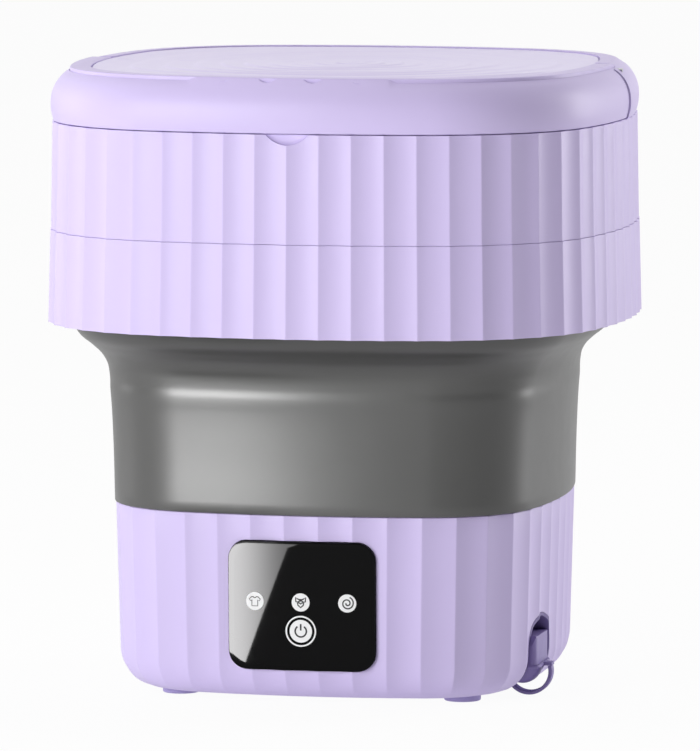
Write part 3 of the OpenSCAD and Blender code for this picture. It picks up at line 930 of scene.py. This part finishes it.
@dataclass
class DrainOutlet:
    """Stopper with its upright body and pull loop, in the niche."""

    slack: float = 2.1
    body: tuple[float, float] = (82.3, 103.2)
    body_top: float = 30.0
    corner: float = 4.0
    lip: float = 1.2
    plug_x: float = 93.5
    bowl_z: float = 14.6
    bowl_r: float = 9.6
    loop_x: float = 96.9
    loop_z: float = 11.6
    loop_r: float = 11.4

    def plate(self, name: str, front: float, low: float, high: float, edge: float) -> bpy.types.Object:
        """Upright plate with round corners on the stopper's plan, its rims softened.

        Args:
            name: the plate's name.
            front: where its front ends.
            low: its lower face.
            high: its upper face.
            edge: size of the softened rims.

        Returns:
            The plate.
        """
        half = NICHE.radius - self.slack
        back = self.body[0]
        middle, reach = (back + front) / 2, (front - back) / 2
        angle = np.linspace(0, QUARTER, 9)
        rings = []
        levels = (
            (low, edge), (low + 0.3 * edge, 0.3 * edge), (low + edge, 0.0),
            (high - edge, 0.0), (high - 0.3 * edge, 0.3 * edge), (high, edge),
        )
        for z, cut in levels:
            corner = self.corner - cut
            points = []
            for k, (sx, sy) in enumerate(SQUARE):
                turn = angle + k * QUARTER
                centre = np.array([middle + sx * (reach - self.corner), NICHE.y + sy * (half - self.corner)])
                points.append(centre + corner * np.column_stack([np.cos(turn), np.sin(turn)]))
            flat = np.vstack(points)
            rings.append(np.column_stack([flat, np.full(len(flat), z)]))
        return solid(name, rings)

    def build(self) -> None:
        """Makes the stopper and the loop."""
        body = self.plate("stopper", self.body[1], self.bowl_z + 0.4, self.body_top, 0.6)
        arch = NICHE.arch("arch_tool", NICHE.radius - self.slack, 0.0, (70.0, 125.0))
        carve(body, [arch], "INTERSECT")
        flange = self.plate("flange", self.body[1] + self.lip, self.bowl_z, self.bowl_z + 1.6, 0.4)
        centre = (self.plug_x, NICHE.y, 0.0)
        angle = np.linspace(0.02, QUARTER, 14)
        bowl = np.column_stack([self.bowl_r * np.sin(angle), self.bowl_z + 0.5 - self.bowl_r * np.cos(angle)])
        stem = turned("stem", rounded(6.2, 0.0, 26.0, 0.6), (66.0, NICHE.y, NICHE.z), "x")
        outer = self.loop_x + self.loop_r
        lug = slab("lug", (self.plug_x, NICHE.y - 3, self.bowl_z), (outer, NICHE.y + 3, self.bowl_z + 1.6))
        carve(body, [flange, turned("bowl", bowl, centre), stem, lug], "UNION")
        fit(body, Body.STOPPER, Finishes.stopper, "drain_plug")
        rows = []
        section = (
            (3, 0.55), (2.6, 0.9), (-2.6, 0.9), (-3, 0.55),
            (-3, -0.55), (-2.6, -0.9), (2.6, -0.9), (3, -0.55),
        )
        start = math.asin((self.bowl_z - self.loop_z) / self.loop_r)
        for turn in np.linspace(start, -math.pi + 0.1, 60):
            out = np.array([math.cos(turn), 0.0, math.sin(turn)])
            middle = np.array([self.loop_x, NICHE.y, self.loop_z]) + out * (self.loop_r - 0.9)
            steps = [np.array([0, across, 0]) + out * along for across, along in section]
            rows.append(middle + np.array(steps))
        fit(solid("pull_band", rows), Body.STOPPER, Finishes.stopper, "pull_loop")


# ------------------------------------------------------------------ sleeve


@dataclass
class FoldingSleeve:
    """Soft grey sleeve between the base and the ring."""

    wall: float = 2.8
    top: float = 204.7
    low: float = 92.15
    line: tuple[tuple[float, float], ...] = (
        (107.1, 92.9), (107.7, 120), (108.6, 140), (109.1, 147), (109.2, 152), (110.4, 158.5),
        (113.4, 163.6), (118.2, 168.2), (124.0, 173), (128.2, 180), (130, 190), (130, 204.7),
    )

    def plan_at(self, z: float) -> Plan:
        """Plan of the sleeve at a height."""
        return BASE_PLAN.towards(RING_PLAN, max(0.0, min(1.0, (z - 155) / 35)))

    def build(self) -> bpy.types.Object:
        """Makes the sleeve and returns it."""
        turns = even(360)
        line = smooth_line(list(self.line), 6)
        outer = [self.plan_at(z).ring(half, z, turns) for half, z in line]
        lip = [BASE_PLAN.ring(106.5, self.low, turns), BASE_PLAN.ring(106.95, self.low + 0.25, turns)]
        inner = [self.plan_at(z).ring(half, z, turns, self.wall) for half, z in line[::-1]]
        foot = [BASE_PLAN.ring(106.5, self.low, turns, self.wall - 0.4)]
        sleeve = wall("folding_sleeve", lip + outer + inner + foot)
        Finishes.sleeve.dress(sleeve)
        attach(sleeve, Body.BASE.value)
        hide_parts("sleeve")
        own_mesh(sleeve)
        LOG.info("%s: %d faces", sleeve.name, len(sleeve.data.polygons))
        self.clamp(turns)
        return sleeve

    def clamp(self, turns: np.ndarray) -> None:
        """Makes the steel band inside the sleeve's upper rim.

        Its lower side is sloped, so it clears the sleeve's flare when the ring is down.

        Args:
            turns: places round the plan.
        """
        line = [(126.9, self.top - 1.4), (126.9, self.top), (123.8, self.top), (123.8, self.top - 1.8)]
        band = wall("sleeve_band", [RING_PLAN.ring(half, z, turns) for half, z in line])
        fit(band, Body.RING, Finishes.steel, "sleeve_clamp_upper")


# ------------------------------------------------------------------ upper ring


@dataclass
class UpperRing:
    """Two fluted bands that carry the lid."""

    half: float = 140.0
    skirt_top: float = 138.9
    upper_low: float = 138.6
    upper_top: float = 137.8
    skirt_z: float = 179.0
    seam_z: float = 223.3
    rim_z: float = 275.0
    inner: float = 133.9
    skirt_in: float = 136.1
    edge: float = 0.3
    seam: float = 0.1
    flutes: Flutes = field(default_factory=lambda: Flutes(60))
    notch_r: float = 13.1
    notch_d: float = 5.0

    def band(
        self, name: str, low: tuple[float, float], high: tuple[float, float],
        inside: list[tuple[float, float]],
    ) -> bpy.types.Object:
        """Fluted band with softened rims.

        Args:
            name: the piece's name.
            low: half width and height of the lower edge.
            high: half width and height of the upper edge.
            inside: half widths and heights down the inside.

        Returns:
            The band.
        """
        turns, hollow, edge = self.flutes.turns(), self.flutes.hollow(), self.edge
        rim = ((0.0, 1.0), (0.06, 0.55), (0.3, 0.17), (0.7, 0.02), (1.0, 0.0))
        rings = []
        for lift, inset in rim:
            rings.append(RING_PLAN.ring(low[0], low[1] + lift * edge, turns, hollow + inset * edge))
        middle = ((low[0] + high[0]) / 2, (low[1] + high[1]) / 2)
        rings.append(RING_PLAN.ring(middle[0], middle[1], turns, hollow))
        for drop, inset in reversed(rim):
            rings.append(RING_PLAN.ring(high[0], high[1] - drop * edge, turns, hollow + inset * edge))
        rings += [RING_PLAN.ring(half, z, turns) for half, z in inside]
        return wall(name, rings)

    def build(self) -> None:
        """Makes the lower and the upper band, with the finger notch."""
        z = self.seam_z
        spigot = self.inner - 0.3
        inside = [(spigot, z), (spigot, z + 6), (self.inner - 3, z + 6), (self.inner - 3, z - 6)]
        inside += [(self.skirt_in, z - 6), (self.skirt_in, self.skirt_z)]
        skirt = self.band("ring_skirt", (self.half, self.skirt_z), (self.skirt_top, z), inside)
        fit(skirt, Body.RING, Finishes.lilac, "skirt_shell")
        start = z + self.seam
        inside = [(self.inner, self.rim_z), (self.inner, start)]
        upper = self.band("ring_upper", (self.upper_low, start), (self.upper_top, self.rim_z), inside)
        r = self.notch_r
        bowl = np.array(
            [
                [r, -20], [r, 0], [r - 0.15, 0.5], [r - 0.7, 1.05],
                [r - 2.0, 1.45], [r - 5.0, 1.65], [0.01, 1.7],
            ]
        )
        place = (0.0, -self.upper_top + 1.5, self.rim_z + r - self.notch_d)
        carve(upper, [turned("notch", bowl, place, "y", 160)])
        fit(upper, Body.RING, Finishes.lilac, "upper_shell")


# ------------------------------------------------------------------ lid


@dataclass
class LidUnit:
    """Lid with a rippled top disc, a seat for the bail, and two side covers."""

    low: float = 275.4
    top: float = 301.0
    gap: float = 0.3
    disc: float = 119.0
    disc_z: float = 300.45
    relief: float = 0.80
    cover_x: float = 131.0
    cover_w: float = 16.0
    cover_grow: float = 0.9
    grip: float = 49.0
    finger: float = 21.7
    scoop_y: float = -134.6
    scoop_lift: float = 3.7
    line: tuple[tuple[float, float], ...] = (
        (137.1, 276.0), (137.9, 279.0), (138.3, 284.0), (137.6, 289.2), (135.6, 293.6),
        (133.0, 296.8), (129.7, 299.2),
    )
    brow: tuple[tuple[float, float], ...] = (
        (128.9, 299.75), (127.9, 300.4), (126.4, 300.85), (124.2, 301.0), (110.0, 301.0), (60.0, 301.0),
    )
    disc_rim: tuple[tuple[float, float], ...] = ((-0.4, 297.6), (0.0, 298.0), (0.0, 300.2), (-0.15, 300.4))

    def rise(self, x: np.ndarray) -> np.ndarray:
        """How far the shoulder is drawn up beside the grip, from 0 to 1."""
        share = np.clip((self.grip + 1.5 - np.abs(x)) / 5.0, 0, 1)
        return share * share * (3 - 2 * share)

    def shoulder(self, turns: np.ndarray, grow: float) -> list[np.ndarray]:
        """Rings of the lid's outside, from its lower edge to the top."""
        line = smooth_line([(half + grow, z) for half, z in self.line], 6)
        rings = [
            RING_PLAN.ring(136.5 + grow, self.low, turns),
            RING_PLAN.ring(136.95 + grow, self.low + 0.2, turns),
        ]
        for half, z in line:
            ring = RING_PLAN.ring(half, z, turns)
            lift = np.clip((z - 295.5) / 3.7, 0, 1) ** 1.5 * 1.45
            ring[:, 2] += lift * self.rise(ring[:, 0]) * (ring[:, 1] < 0)
            rings.append(ring)
        return rings

    def crown(self, turns: np.ndarray, grow: float) -> list[np.ndarray]:
        """Rings that close the top, inwards from the shoulder."""
        return [RING_PLAN.ring(half + grow, z, turns) for half, z in self.brow]

    def seat_tools(self) -> list[bpy.types.Object]:
        """Cutters of the bail's seat, the disc's seat, and the inside."""
        outer, inner = BAIL.half + self.gap, BAIL.half - BAIL.width - self.gap
        bed, clear = self.top - BAIL.thick - 0.5, self.top + 3
        corners = ((outer, bed), (outer, clear), (inner, clear), (inner, bed))
        recess = wall("bail_seat", [RING_PLAN.ring(half, z, even(480)) for half, z in corners])
        back = BAIL.pivot_y + BAIL.thick / 2 + 0.5
        carve(recess, [slab("front", (-FAR, -FAR, OVER[0]), (FAR, back, OVER[1]))], "INTERSECT")
        return [
            recess,
            block("disc_seat", RING_PLAN, self.disc + 0.65, self.top - 3.6, self.top + 5, 480),
            block("hollow_low", RING_PLAN, 134.0, self.low - 1, 285.0),
            block("hollow_high", RING_PLAN, 126.5, 284.0, 291.0),
            block("hollow_top", RING_PLAN, self.disc - 4, 290.0, self.top - 6),
        ]

    def slot_tool(self, side: int, grow: float) -> bpy.types.Object:
        """Cutter of a side cover's slot."""
        xs = sorted((side * (self.cover_x - grow), side * 150.0))
        y = BAIL.pivot_y - self.cover_w / 2
        return slab("slot", (xs[0], y - grow, self.low - 1), (xs[1], y + self.cover_w + grow, 310))

    def build(self) -> None:
        """Makes the shell, the side covers and the disc."""
        turns = even(960)
        shell = solid("lid_crown", self.shoulder(turns, 0.0) + self.crown(turns, 0.0))
        scoops = []
        profile = np.array([[5.6, 0.0], [6.0, 5.4]])
        for k in (-1.5, -0.5, 0.5, 1.5):
            place = (k * self.finger, self.scoop_y, self.top + self.scoop_lift)
            scoops.append(turned("scoop", profile, place, "y", 64))
        slots = [self.slot_tool(side, self.gap) for side in (-1, 1)]
        carve(shell, self.seat_tools() + scoops + slots)
        fit(shell, Body.LID, Finishes.lilac, "lid_shell")
        covers = []
        for side in (-1, 1):
            grow = self.cover_grow
            cover = solid("cover", self.shoulder(turns, grow) + self.crown(turns, grow))
            carve(cover, [self.slot_tool(side, 0.0)], "INTERSECT")
            covers.append(cover)
        pair = joined("side_cover_pair", covers)
        fit(pair, Body.LID, Finishes.lilac, "side_covers")
        self.build_disc()

    def ripple(self, x: np.ndarray, y: np.ndarray) -> np.ndarray:
        """Height of the growth-ring relief at a place on the disc, in millimetres."""
        dx, dy = x - 3.0, y + 2.0
        reach, heading = np.hypot(dx, dy), np.arctan2(dy, dx)
        waves = ((4.2, 1, 0.6), (2.6, 2, 1.9), (1.5, 3, -0.7))
        drift = sum(size * np.sin(times * heading + start) for size, times, start in waves)
        drift = drift + 1.3 * np.sin(5 * heading + 0.04 * reach)
        drift = drift + 1.6 * np.sin(0.055 * dx + 0.9) * np.cos(0.047 * dy)
        bent = reach + drift * np.clip(reach / 60, 0, 1)
        phase = bent / (8.6 + 0.03 * np.clip(bent, 0, 120))
        saw = phase - np.floor(phase)
        edge = np.where(saw < 0.8, saw / 0.8, 1 - (saw - 0.8) / 0.2)
        swell = edge * edge * (3 - 2 * edge)
        breadth = 0.62 + 0.38 * np.sin(1.7 * heading + 0.05 * reach) * np.sin(0.09 * bent)
        return self.relief * swell * breadth

    def build_disc(self) -> None:
        """Makes the top disc with its relief."""
        turns = even(420)
        halves = np.linspace(self.disc - 0.5, 0.8, 190)
        rings = [RING_PLAN.ring(self.disc + step, z, turns) for step, z in self.disc_rim]
        for half in halves:
            ring = RING_PLAN.ring(half, 0.0, turns)
            share = np.clip((self.disc - half) / 7.0, 0, 1)
            ring[:, 2] = self.disc_z + (self.ripple(ring[:, 0], ring[:, 1]) - 0.30) * share
            rings.append(ring)
        disc = solid("ripple_disc", rings)
        shade(disc, math.radians(50))
        # the disc wears the lighter lilac, painted light on the lid's top
        fit(disc, Body.LID, Finishes.top, "lid_disc")


@dataclass
class CarryBail:
    """Half-round carrying handle that lies round the front of the lid."""

    size: BailSize = BAIL
    edge: float = 0.55

    def build(self) -> None:
        """Makes the bail with rounded edges and rounded pivot ends."""
        turns = even(720)
        size = self.size
        low, inner = size.top - size.thick, size.half - size.width
        corners = (
            (size.half, low, 1, 1), (size.half, size.top, 1, -1),
            (inner, size.top, -1, -1), (inner, low, -1, 1),
        )
        rings = []
        for number, (half, z, out, up) in enumerate(corners):
            for angle in np.linspace(0, QUARTER, 5):
                turn = angle if number % 2 == 0 else QUARTER - angle
                across, height = 1 - math.sin(turn), 1 - math.cos(turn)
                at, level = half - out * self.edge * across, z + up * self.edge * height
                rings.append(RING_PLAN.ring(at, level, turns))
        bail = wall("carry_bail", rings)
        keep = slab("keep", (-FAR, -FAR, OVER[0]), (FAR, size.pivot_y, OVER[1]))
        round_r = size.thick / 2
        pivot = (-FAR, size.pivot_y, size.top - round_r)
        end = turned("end", np.array([[round_r, 0.0], [round_r, 2 * FAR]]), pivot, "x", 64)
        carve(keep, [end], "UNION")
        carve(bail, [keep], "INTERSECT")
        fit(bail, Body.BAIL, Finishes.lilac, "handle_bail")


# ------------------------------------------------------------------ inside


@dataclass
class WashDrum:
    """Spin basket with round holes; its skin is made of cells, each round its own hole."""

    radius: float = 88.0
    skin: float = 2.0
    low: float = 79.2
    rim: float = 158.0
    plain_low: float = 12.0
    plain_top: float = 14.0
    eye: float = 58.0
    hole_r: float = 2.2
    rows: int = 7
    columns: int = 44
    corners: int = 12
    points: list = field(default_factory=list)
    faces: list = field(default_factory=list)
    index: dict = field(default_factory=dict)

    def __post_init__(self) -> None:
        """Works out the cells from the driving sizes."""
        self.inner = self.radius - self.skin
        self.start = self.low + self.plain_low
        self.tall = (self.rim - self.plain_top - self.start) / self.rows
        self.pitch = FULL / self.columns
        angles = FULL * (np.arange(self.corners) + 0.5) / self.corners
        self.unit = np.array([(math.cos(a), math.sin(a)) for a in angles])
        self.square = self.unit / np.abs(self.unit).max(1, keepdims=True)

    def vertex(self, radius: float, angle: float, z: float) -> int:
        """Number of the vertex at a place, made once."""
        key = (round(radius, 3), round(math.degrees(angle) % 360, 3) % 360, round(z, 3))
        if key not in self.index:
            self.index[key] = len(self.points)
            self.points.append((radius * math.cos(angle), radius * math.sin(angle), z))
        return self.index[key]

    def cell(self, radius: float, row: int, column: int) -> tuple[list[int], list[int]]:
        """Vertices of a cell.

        Args:
            radius: of the skin.
            row: counted upwards.
            column: counted round the axis.

        Returns:
            The vertices round the cell, and those round its hole.
        """
        angle = column * self.pitch
        z = self.start + (row + 0.5) * self.tall
        border = [
            self.vertex(radius, angle + u * self.pitch / 2, z + v * self.tall / 2) for u, v in self.square
        ]
        hole = [
            self.vertex(radius, angle + u * self.hole_r / self.radius, z + v * self.hole_r)
            for u, v in self.unit
        ]
        return border, hole

    def bridge(self, first: list[int], second: list[int], flip: bool = False) -> None:
        """Faces between two loops of vertices.

        Args:
            first: a loop.
            second: a loop with as many vertices.
            flip: whether the faces look the other way.
        """
        for k in range(len(first)):
            n = (k + 1) % len(first)
            face = [first[k], first[n], second[n], second[k]]
            self.faces.append(face[::-1] if flip else face)

    def pierced_wall(self) -> None:
        """Makes the two skins and the walls of the holes."""
        places = [(row, column) for row in range(self.rows) for column in range(self.columns)]
        for radius, flip in ((self.radius, False), (self.inner, True)):
            for place in places:
                self.bridge(*self.cell(radius, *place), flip)
        for place in places:
            self.bridge(self.cell(self.radius, *place)[1], self.cell(self.inner, *place)[1])

    def plain_ends(self) -> None:
        """Makes the rolled rim above the holes, and the floor below them."""
        edges = [u for u, v in self.square if abs(v) > 0.999]
        half = self.pitch / 2
        middles = [column * self.pitch for column in range(self.columns)]
        turns = (math.degrees(middle + u * half) for middle in middles for u in edges)
        around = sorted({round(turn % 360, 6) for turn in turns})
        out, into, low, rim = self.radius, self.inner, self.low, self.rim
        top = self.start + self.rows * self.tall
        rolled = (
            (out, top), (out, rim - 2.6), (out + 2.5, rim - 2.2), (out + 2.5, rim - 0.4), (out + 2.1, rim),
            (into + 0.4, rim), (into, rim - 0.4), (into, top),
        )
        floor = (
            (out, self.start), (out, low + 2.5), (out - 2.5, low), (self.eye + 0.4, low),
            (self.eye, low + 0.4), (self.eye, low + 2), (into - 3.5, low + 2), (into, low + 5.5),
            (into, self.start),
        )
        for path in (rolled, floor):
            loops = [[self.vertex(radius, math.radians(turn), z) for turn in around] for radius, z in path]
            for first, second in zip(loops, loops[1:]):
                self.bridge(first, second)

    def build(self) -> None:
        """Makes the basket."""
        self.pierced_wall()
        self.plain_ends()
        basket = finish_mesh("spin_drum", np.array(self.points), self.faces)
        fit(basket, Body.DRIVE, Finishes.tub, "spin_basket")


class Hardware:
    """The CAD nodes that keep their own shape."""

    soft_edge = {
        "tub_floor": 0.5, "pulsator_cap": 0.3, "inner_ring": 0.4, "lid_liner": 0.6, "motor": 0.5,
        "bottom_cover": 0.3, "dc_jack": 0.25, "main_board": 0.1, "drive_gear": 0.15,
    }
    dress_code = {
        Finishes.lilac: ("bottom_cover", "pulsator_cap"),
        Finishes.tub: ("tub_floor", "drain_pipe", "pulsator", "inner_ring", "lid_liner"),
        Finishes.steel: (
            "cover_screws", "sleeve_clamp_lower", "motor", "bracket_screws", "bearing_lower", "bearing_upper",
            "drain_strainer", "jack_nut", "motor_shaft", "drive_shaft", "basket_screws",
            "ring_screws", "lid_screws", "pivot_pins",
        ),
        Finishes.bracket: ("motor_bracket",),
        Finishes.board: ("touch_board", "main_board"),
        Finishes.black: ("shaft_seal",),
        Finishes.jack: ("dc_jack",),
        Finishes.nylon: ("pinion", "drive_gear"),
        Finishes.seal: ("lid_seal",),
        # the drain niche gets the darker lilac, painted shade inside the recess
        Finishes.niche: ("drain_niche",),
    }

    def build(self) -> None:
        """Dresses the nodes and softens some edges."""
        for finish, names in self.dress_code.items():
            for name in names:
                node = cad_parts[name]
                finish.dress(node)
                if name in self.soft_edge:
                    bevel = node.modifiers.new("soft_edge", "BEVEL")
                    bevel.width, bevel.segments = self.soft_edge[name] * MM, 2
                    bevel.limit_method, bevel.angle_limit = "ANGLE", math.radians(50)
                LOG.info("%s dressed as %s", name, finish.slot)


# ------------------------------------------------------------------ studio


def aim_at(
    item: bpy.types.Object, target: tuple[float, float, float],
    azimuth: float, elevation: float, distance: float,
) -> None:
    """Places a camera or a light round a point, and turns it to the point.

    Args:
        item: the camera or the light.
        target: the point, in metres.
        azimuth: compass angle from the front, in degrees.
        elevation: angle above the floor, in degrees.
        distance: how far from the point, in metres.
    """
    turn, lift = math.radians(azimuth), math.radians(elevation)
    away = Vector((math.sin(turn) * math.cos(lift), -math.cos(turn) * math.cos(lift), math.sin(lift)))
    item.location = Vector(target) + away * distance
    item.rotation_euler = away.to_track_quat("Z", "Y").to_euler()


def only_for(light: bpy.types.Object, piece: bpy.types.Object) -> None:
    """Lets a light reach one piece and nothing else."""
    lit = bpy.data.collections.new(light.name + "_receives")
    lit.objects.link(piece)
    light.light_linking.receiver_collection = lit


@dataclass(frozen=True)
class Softbox:
    """Rectangular studio light, placed by compass angle from the front and height."""

    name: str
    azimuth: float
    elevation: float
    distance: float
    size: tuple[float, float]
    power: float
    aim: tuple[float, float, float] = (0.0, 0.0, 0.15)

    def build(self) -> bpy.types.Object:
        """Makes the light."""
        lamp = bpy.data.lights.new(self.name, "AREA")
        lamp.shape, lamp.size, lamp.size_y, lamp.energy = "RECTANGLE", *self.size, self.power
        box = bpy.data.objects.new(self.name, lamp)
        aim_at(box, self.aim, self.azimuth, self.elevation, self.distance)
        box.visible_camera = False
        bpy.context.scene.collection.objects.link(box)
        return box


@dataclass
class Studio:
    """Camera, pale floor, white surroundings and soft lights."""

    azimuth: float = 12.0
    elevation: float = 5.7
    distance: float = 4.0
    target: tuple[float, float, float] = (0.0, 0.0, 0.158)
    lens: float = 395.5
    shift: tuple[float, float] = (0.0035, -0.0265)
    front: float = 0.05
    back: float = 1.0
    card_y: float = -206.0
    card_edge: tuple[tuple[float, float], ...] = ((-24.0, 72.0), (-70.3, -0.1))
    boxes: tuple[Softbox, ...] = (
        Softbox("key", -31, 11, 1.8, (1.0, 1.3), 26.0),
        Softbox("left_edge", -100, 12, 1.8, (0.6, 1.3), 5.0),
        Softbox("right_edge", 128, 10, 1.8, (0.6, 1.3), 13.0),
        Softbox("above", -40, 76, 1.8, (1.2, 1.2), 5.0),
    )
    sleeve_box: Softbox = Softbox("sleeve_sheen", -29, 11, 1.8, (0.9, 1.3), 52.0)
    floor_size: float = 9000.0

    def camera(self) -> None:
        """Makes the camera."""
        data = bpy.data.cameras.new("camera")
        data.lens, data.sensor_width, data.sensor_fit = self.lens, 36.0, "AUTO"
        data.shift_x, data.shift_y = self.shift
        data.clip_end = 50.0
        item = bpy.data.objects.new("camera", data)
        aim_at(item, self.target, self.azimuth, self.elevation, self.distance)
        bpy.context.scene.collection.objects.link(item)
        bpy.context.scene.camera = item

    def surroundings(self) -> None:
        """Makes the white surroundings, brighter behind the washer than in front of it."""
        world = bpy.data.worlds.new("white_studio")
        bpy.context.scene.world = world
        world.use_nodes = True
        sheet = NodeSheet(world.node_tree)
        heading = sheet.node("ShaderNodeTexCoord", {}, {}, "Generated")
        parts = sheet.node("ShaderNodeSeparateXYZ", {}, {"Vector": heading}, "Y")
        behind = sheet.node(
            "ShaderNodeMapRange", {"interpolation_type": "SMOOTHSTEP"},
            {"Value": parts, "From Min": -0.25, "From Max": 0.45, "To Min": self.front, "To Max": self.back},
        )
        seen = sheet.node("ShaderNodeLightPath", {}, {}, "Is Camera Ray")
        strength = seen + (1 - seen) * behind
        light = sheet.node("ShaderNodeBackground", {}, {"Color": (1.0, 1.0, 1.0, 1.0), "Strength": strength})
        sheet.node("ShaderNodeOutputWorld", {}, {"Surface": light})

    def sheen(self, sleeve: bpy.types.Object) -> None:
        """Makes the soft light that only the sleeve gets.

        Args:
            sleeve: the folding sleeve.
        """
        only_for(self.sleeve_box.build(), sleeve)

    def card(self, glass: bpy.types.Object) -> None:
        """Makes the slanted white card that only the touch glass mirrors.

        Args:
            glass: the panel's glass.
        """
        points = np.array([self.card_edge[0], self.card_edge[1], (-190.0, -0.1), (-150.0, 72.0)])
        faces = (self.card_y, self.card_y - 1.0)
        rings = [np.column_stack([points[:, 0], np.full(4, y), points[:, 1]]) for y in faces]
        card = solid("glass_card", rings)
        made, sheet = fresh_material("card_glow")
        place = sheet.node("ShaderNodeTexCoord", {}, {}, "Object")
        parts = sheet.node("ShaderNodeSeparateXYZ", {}, {"Vector": place}, "X")
        share = sheet.node(
            "ShaderNodeMapRange", {"interpolation_type": "SMOOTHSTEP"},
            {"Value": parts, "From Min": -0.028, "From Max": -0.085, "To Min": 20.0, "To Max": 88.0},
        )
        glow = sheet.node("ShaderNodeEmission", {}, {"Color": (1.0, 0.99, 1.0, 1.0), "Strength": share})
        sheet.node("ShaderNodeOutputMaterial", {}, {"Surface": glow})
        card.data.materials.append(made)
        card.visible_camera = card.visible_diffuse = card.visible_transmission = card.visible_shadow = False
        only_for(card, glass)

    def floor(self) -> None:
        """Makes the pale floor."""
        angle = even(96) * QUARTER
        ring = np.column_stack([np.cos(angle), np.sin(angle), np.zeros(96)]) * self.floor_size
        ring[:, 2] = -0.2
        low = ring - np.array([0, 0, 20.0])
        floor = solid("studio_floor", [low, ring])
        made, sheet = fresh_material("pale_floor")
        place = sheet.node("ShaderNodeTexCoord", {}, {}, "Object")
        cloud = sheet.node("ShaderNodeTexNoise", {}, {"Vector": place, "Scale": 3.0})
        pale = sheet.blend(cloud, (0.78, 0.78, 0.79), (0.80, 0.80, 0.80))
        paint = sheet.node("ShaderNodeBsdfDiffuse", {}, {"Color": pale})
        glow = sheet.node("ShaderNodeEmission", {}, {"Color": (1.0, 1.0, 1.0, 1.0), "Strength": 1.0})
        seen = sheet.node("ShaderNodeLightPath", {}, {}, "Is Camera Ray")
        mix = sheet.node("ShaderNodeMixShader", {}, {0: seen * 0.55 + 0.40, 1: paint, 2: glow})
        sheet.node("ShaderNodeOutputMaterial", {}, {"Surface": mix})
        floor.data.materials.append(made)

    def build(self) -> None:
        """Makes everything round the washer."""
        self.camera()
        self.surroundings()
        self.floor()
        for box in self.boxes:
            box.build()
        bpy.context.scene.view_settings.view_transform = "Standard"


def main() -> None:
    """Builds the washer and its studio in order."""
    logging.basicConfig(level=logging.INFO, format="%(name)s %(message)s")
    studio = Studio()
    studio.build()
    panel = TouchPanel()
    BaseUnit().build(panel)
    studio.card(panel.build())
    DrainOutlet().build()
    studio.sheen(FoldingSleeve().build())
    UpperRing().build()
    LidUnit().build()
    CarryBail().build()
    WashDrum().build()
    Hardware().build()


if __name__ == "__main__":
    main()
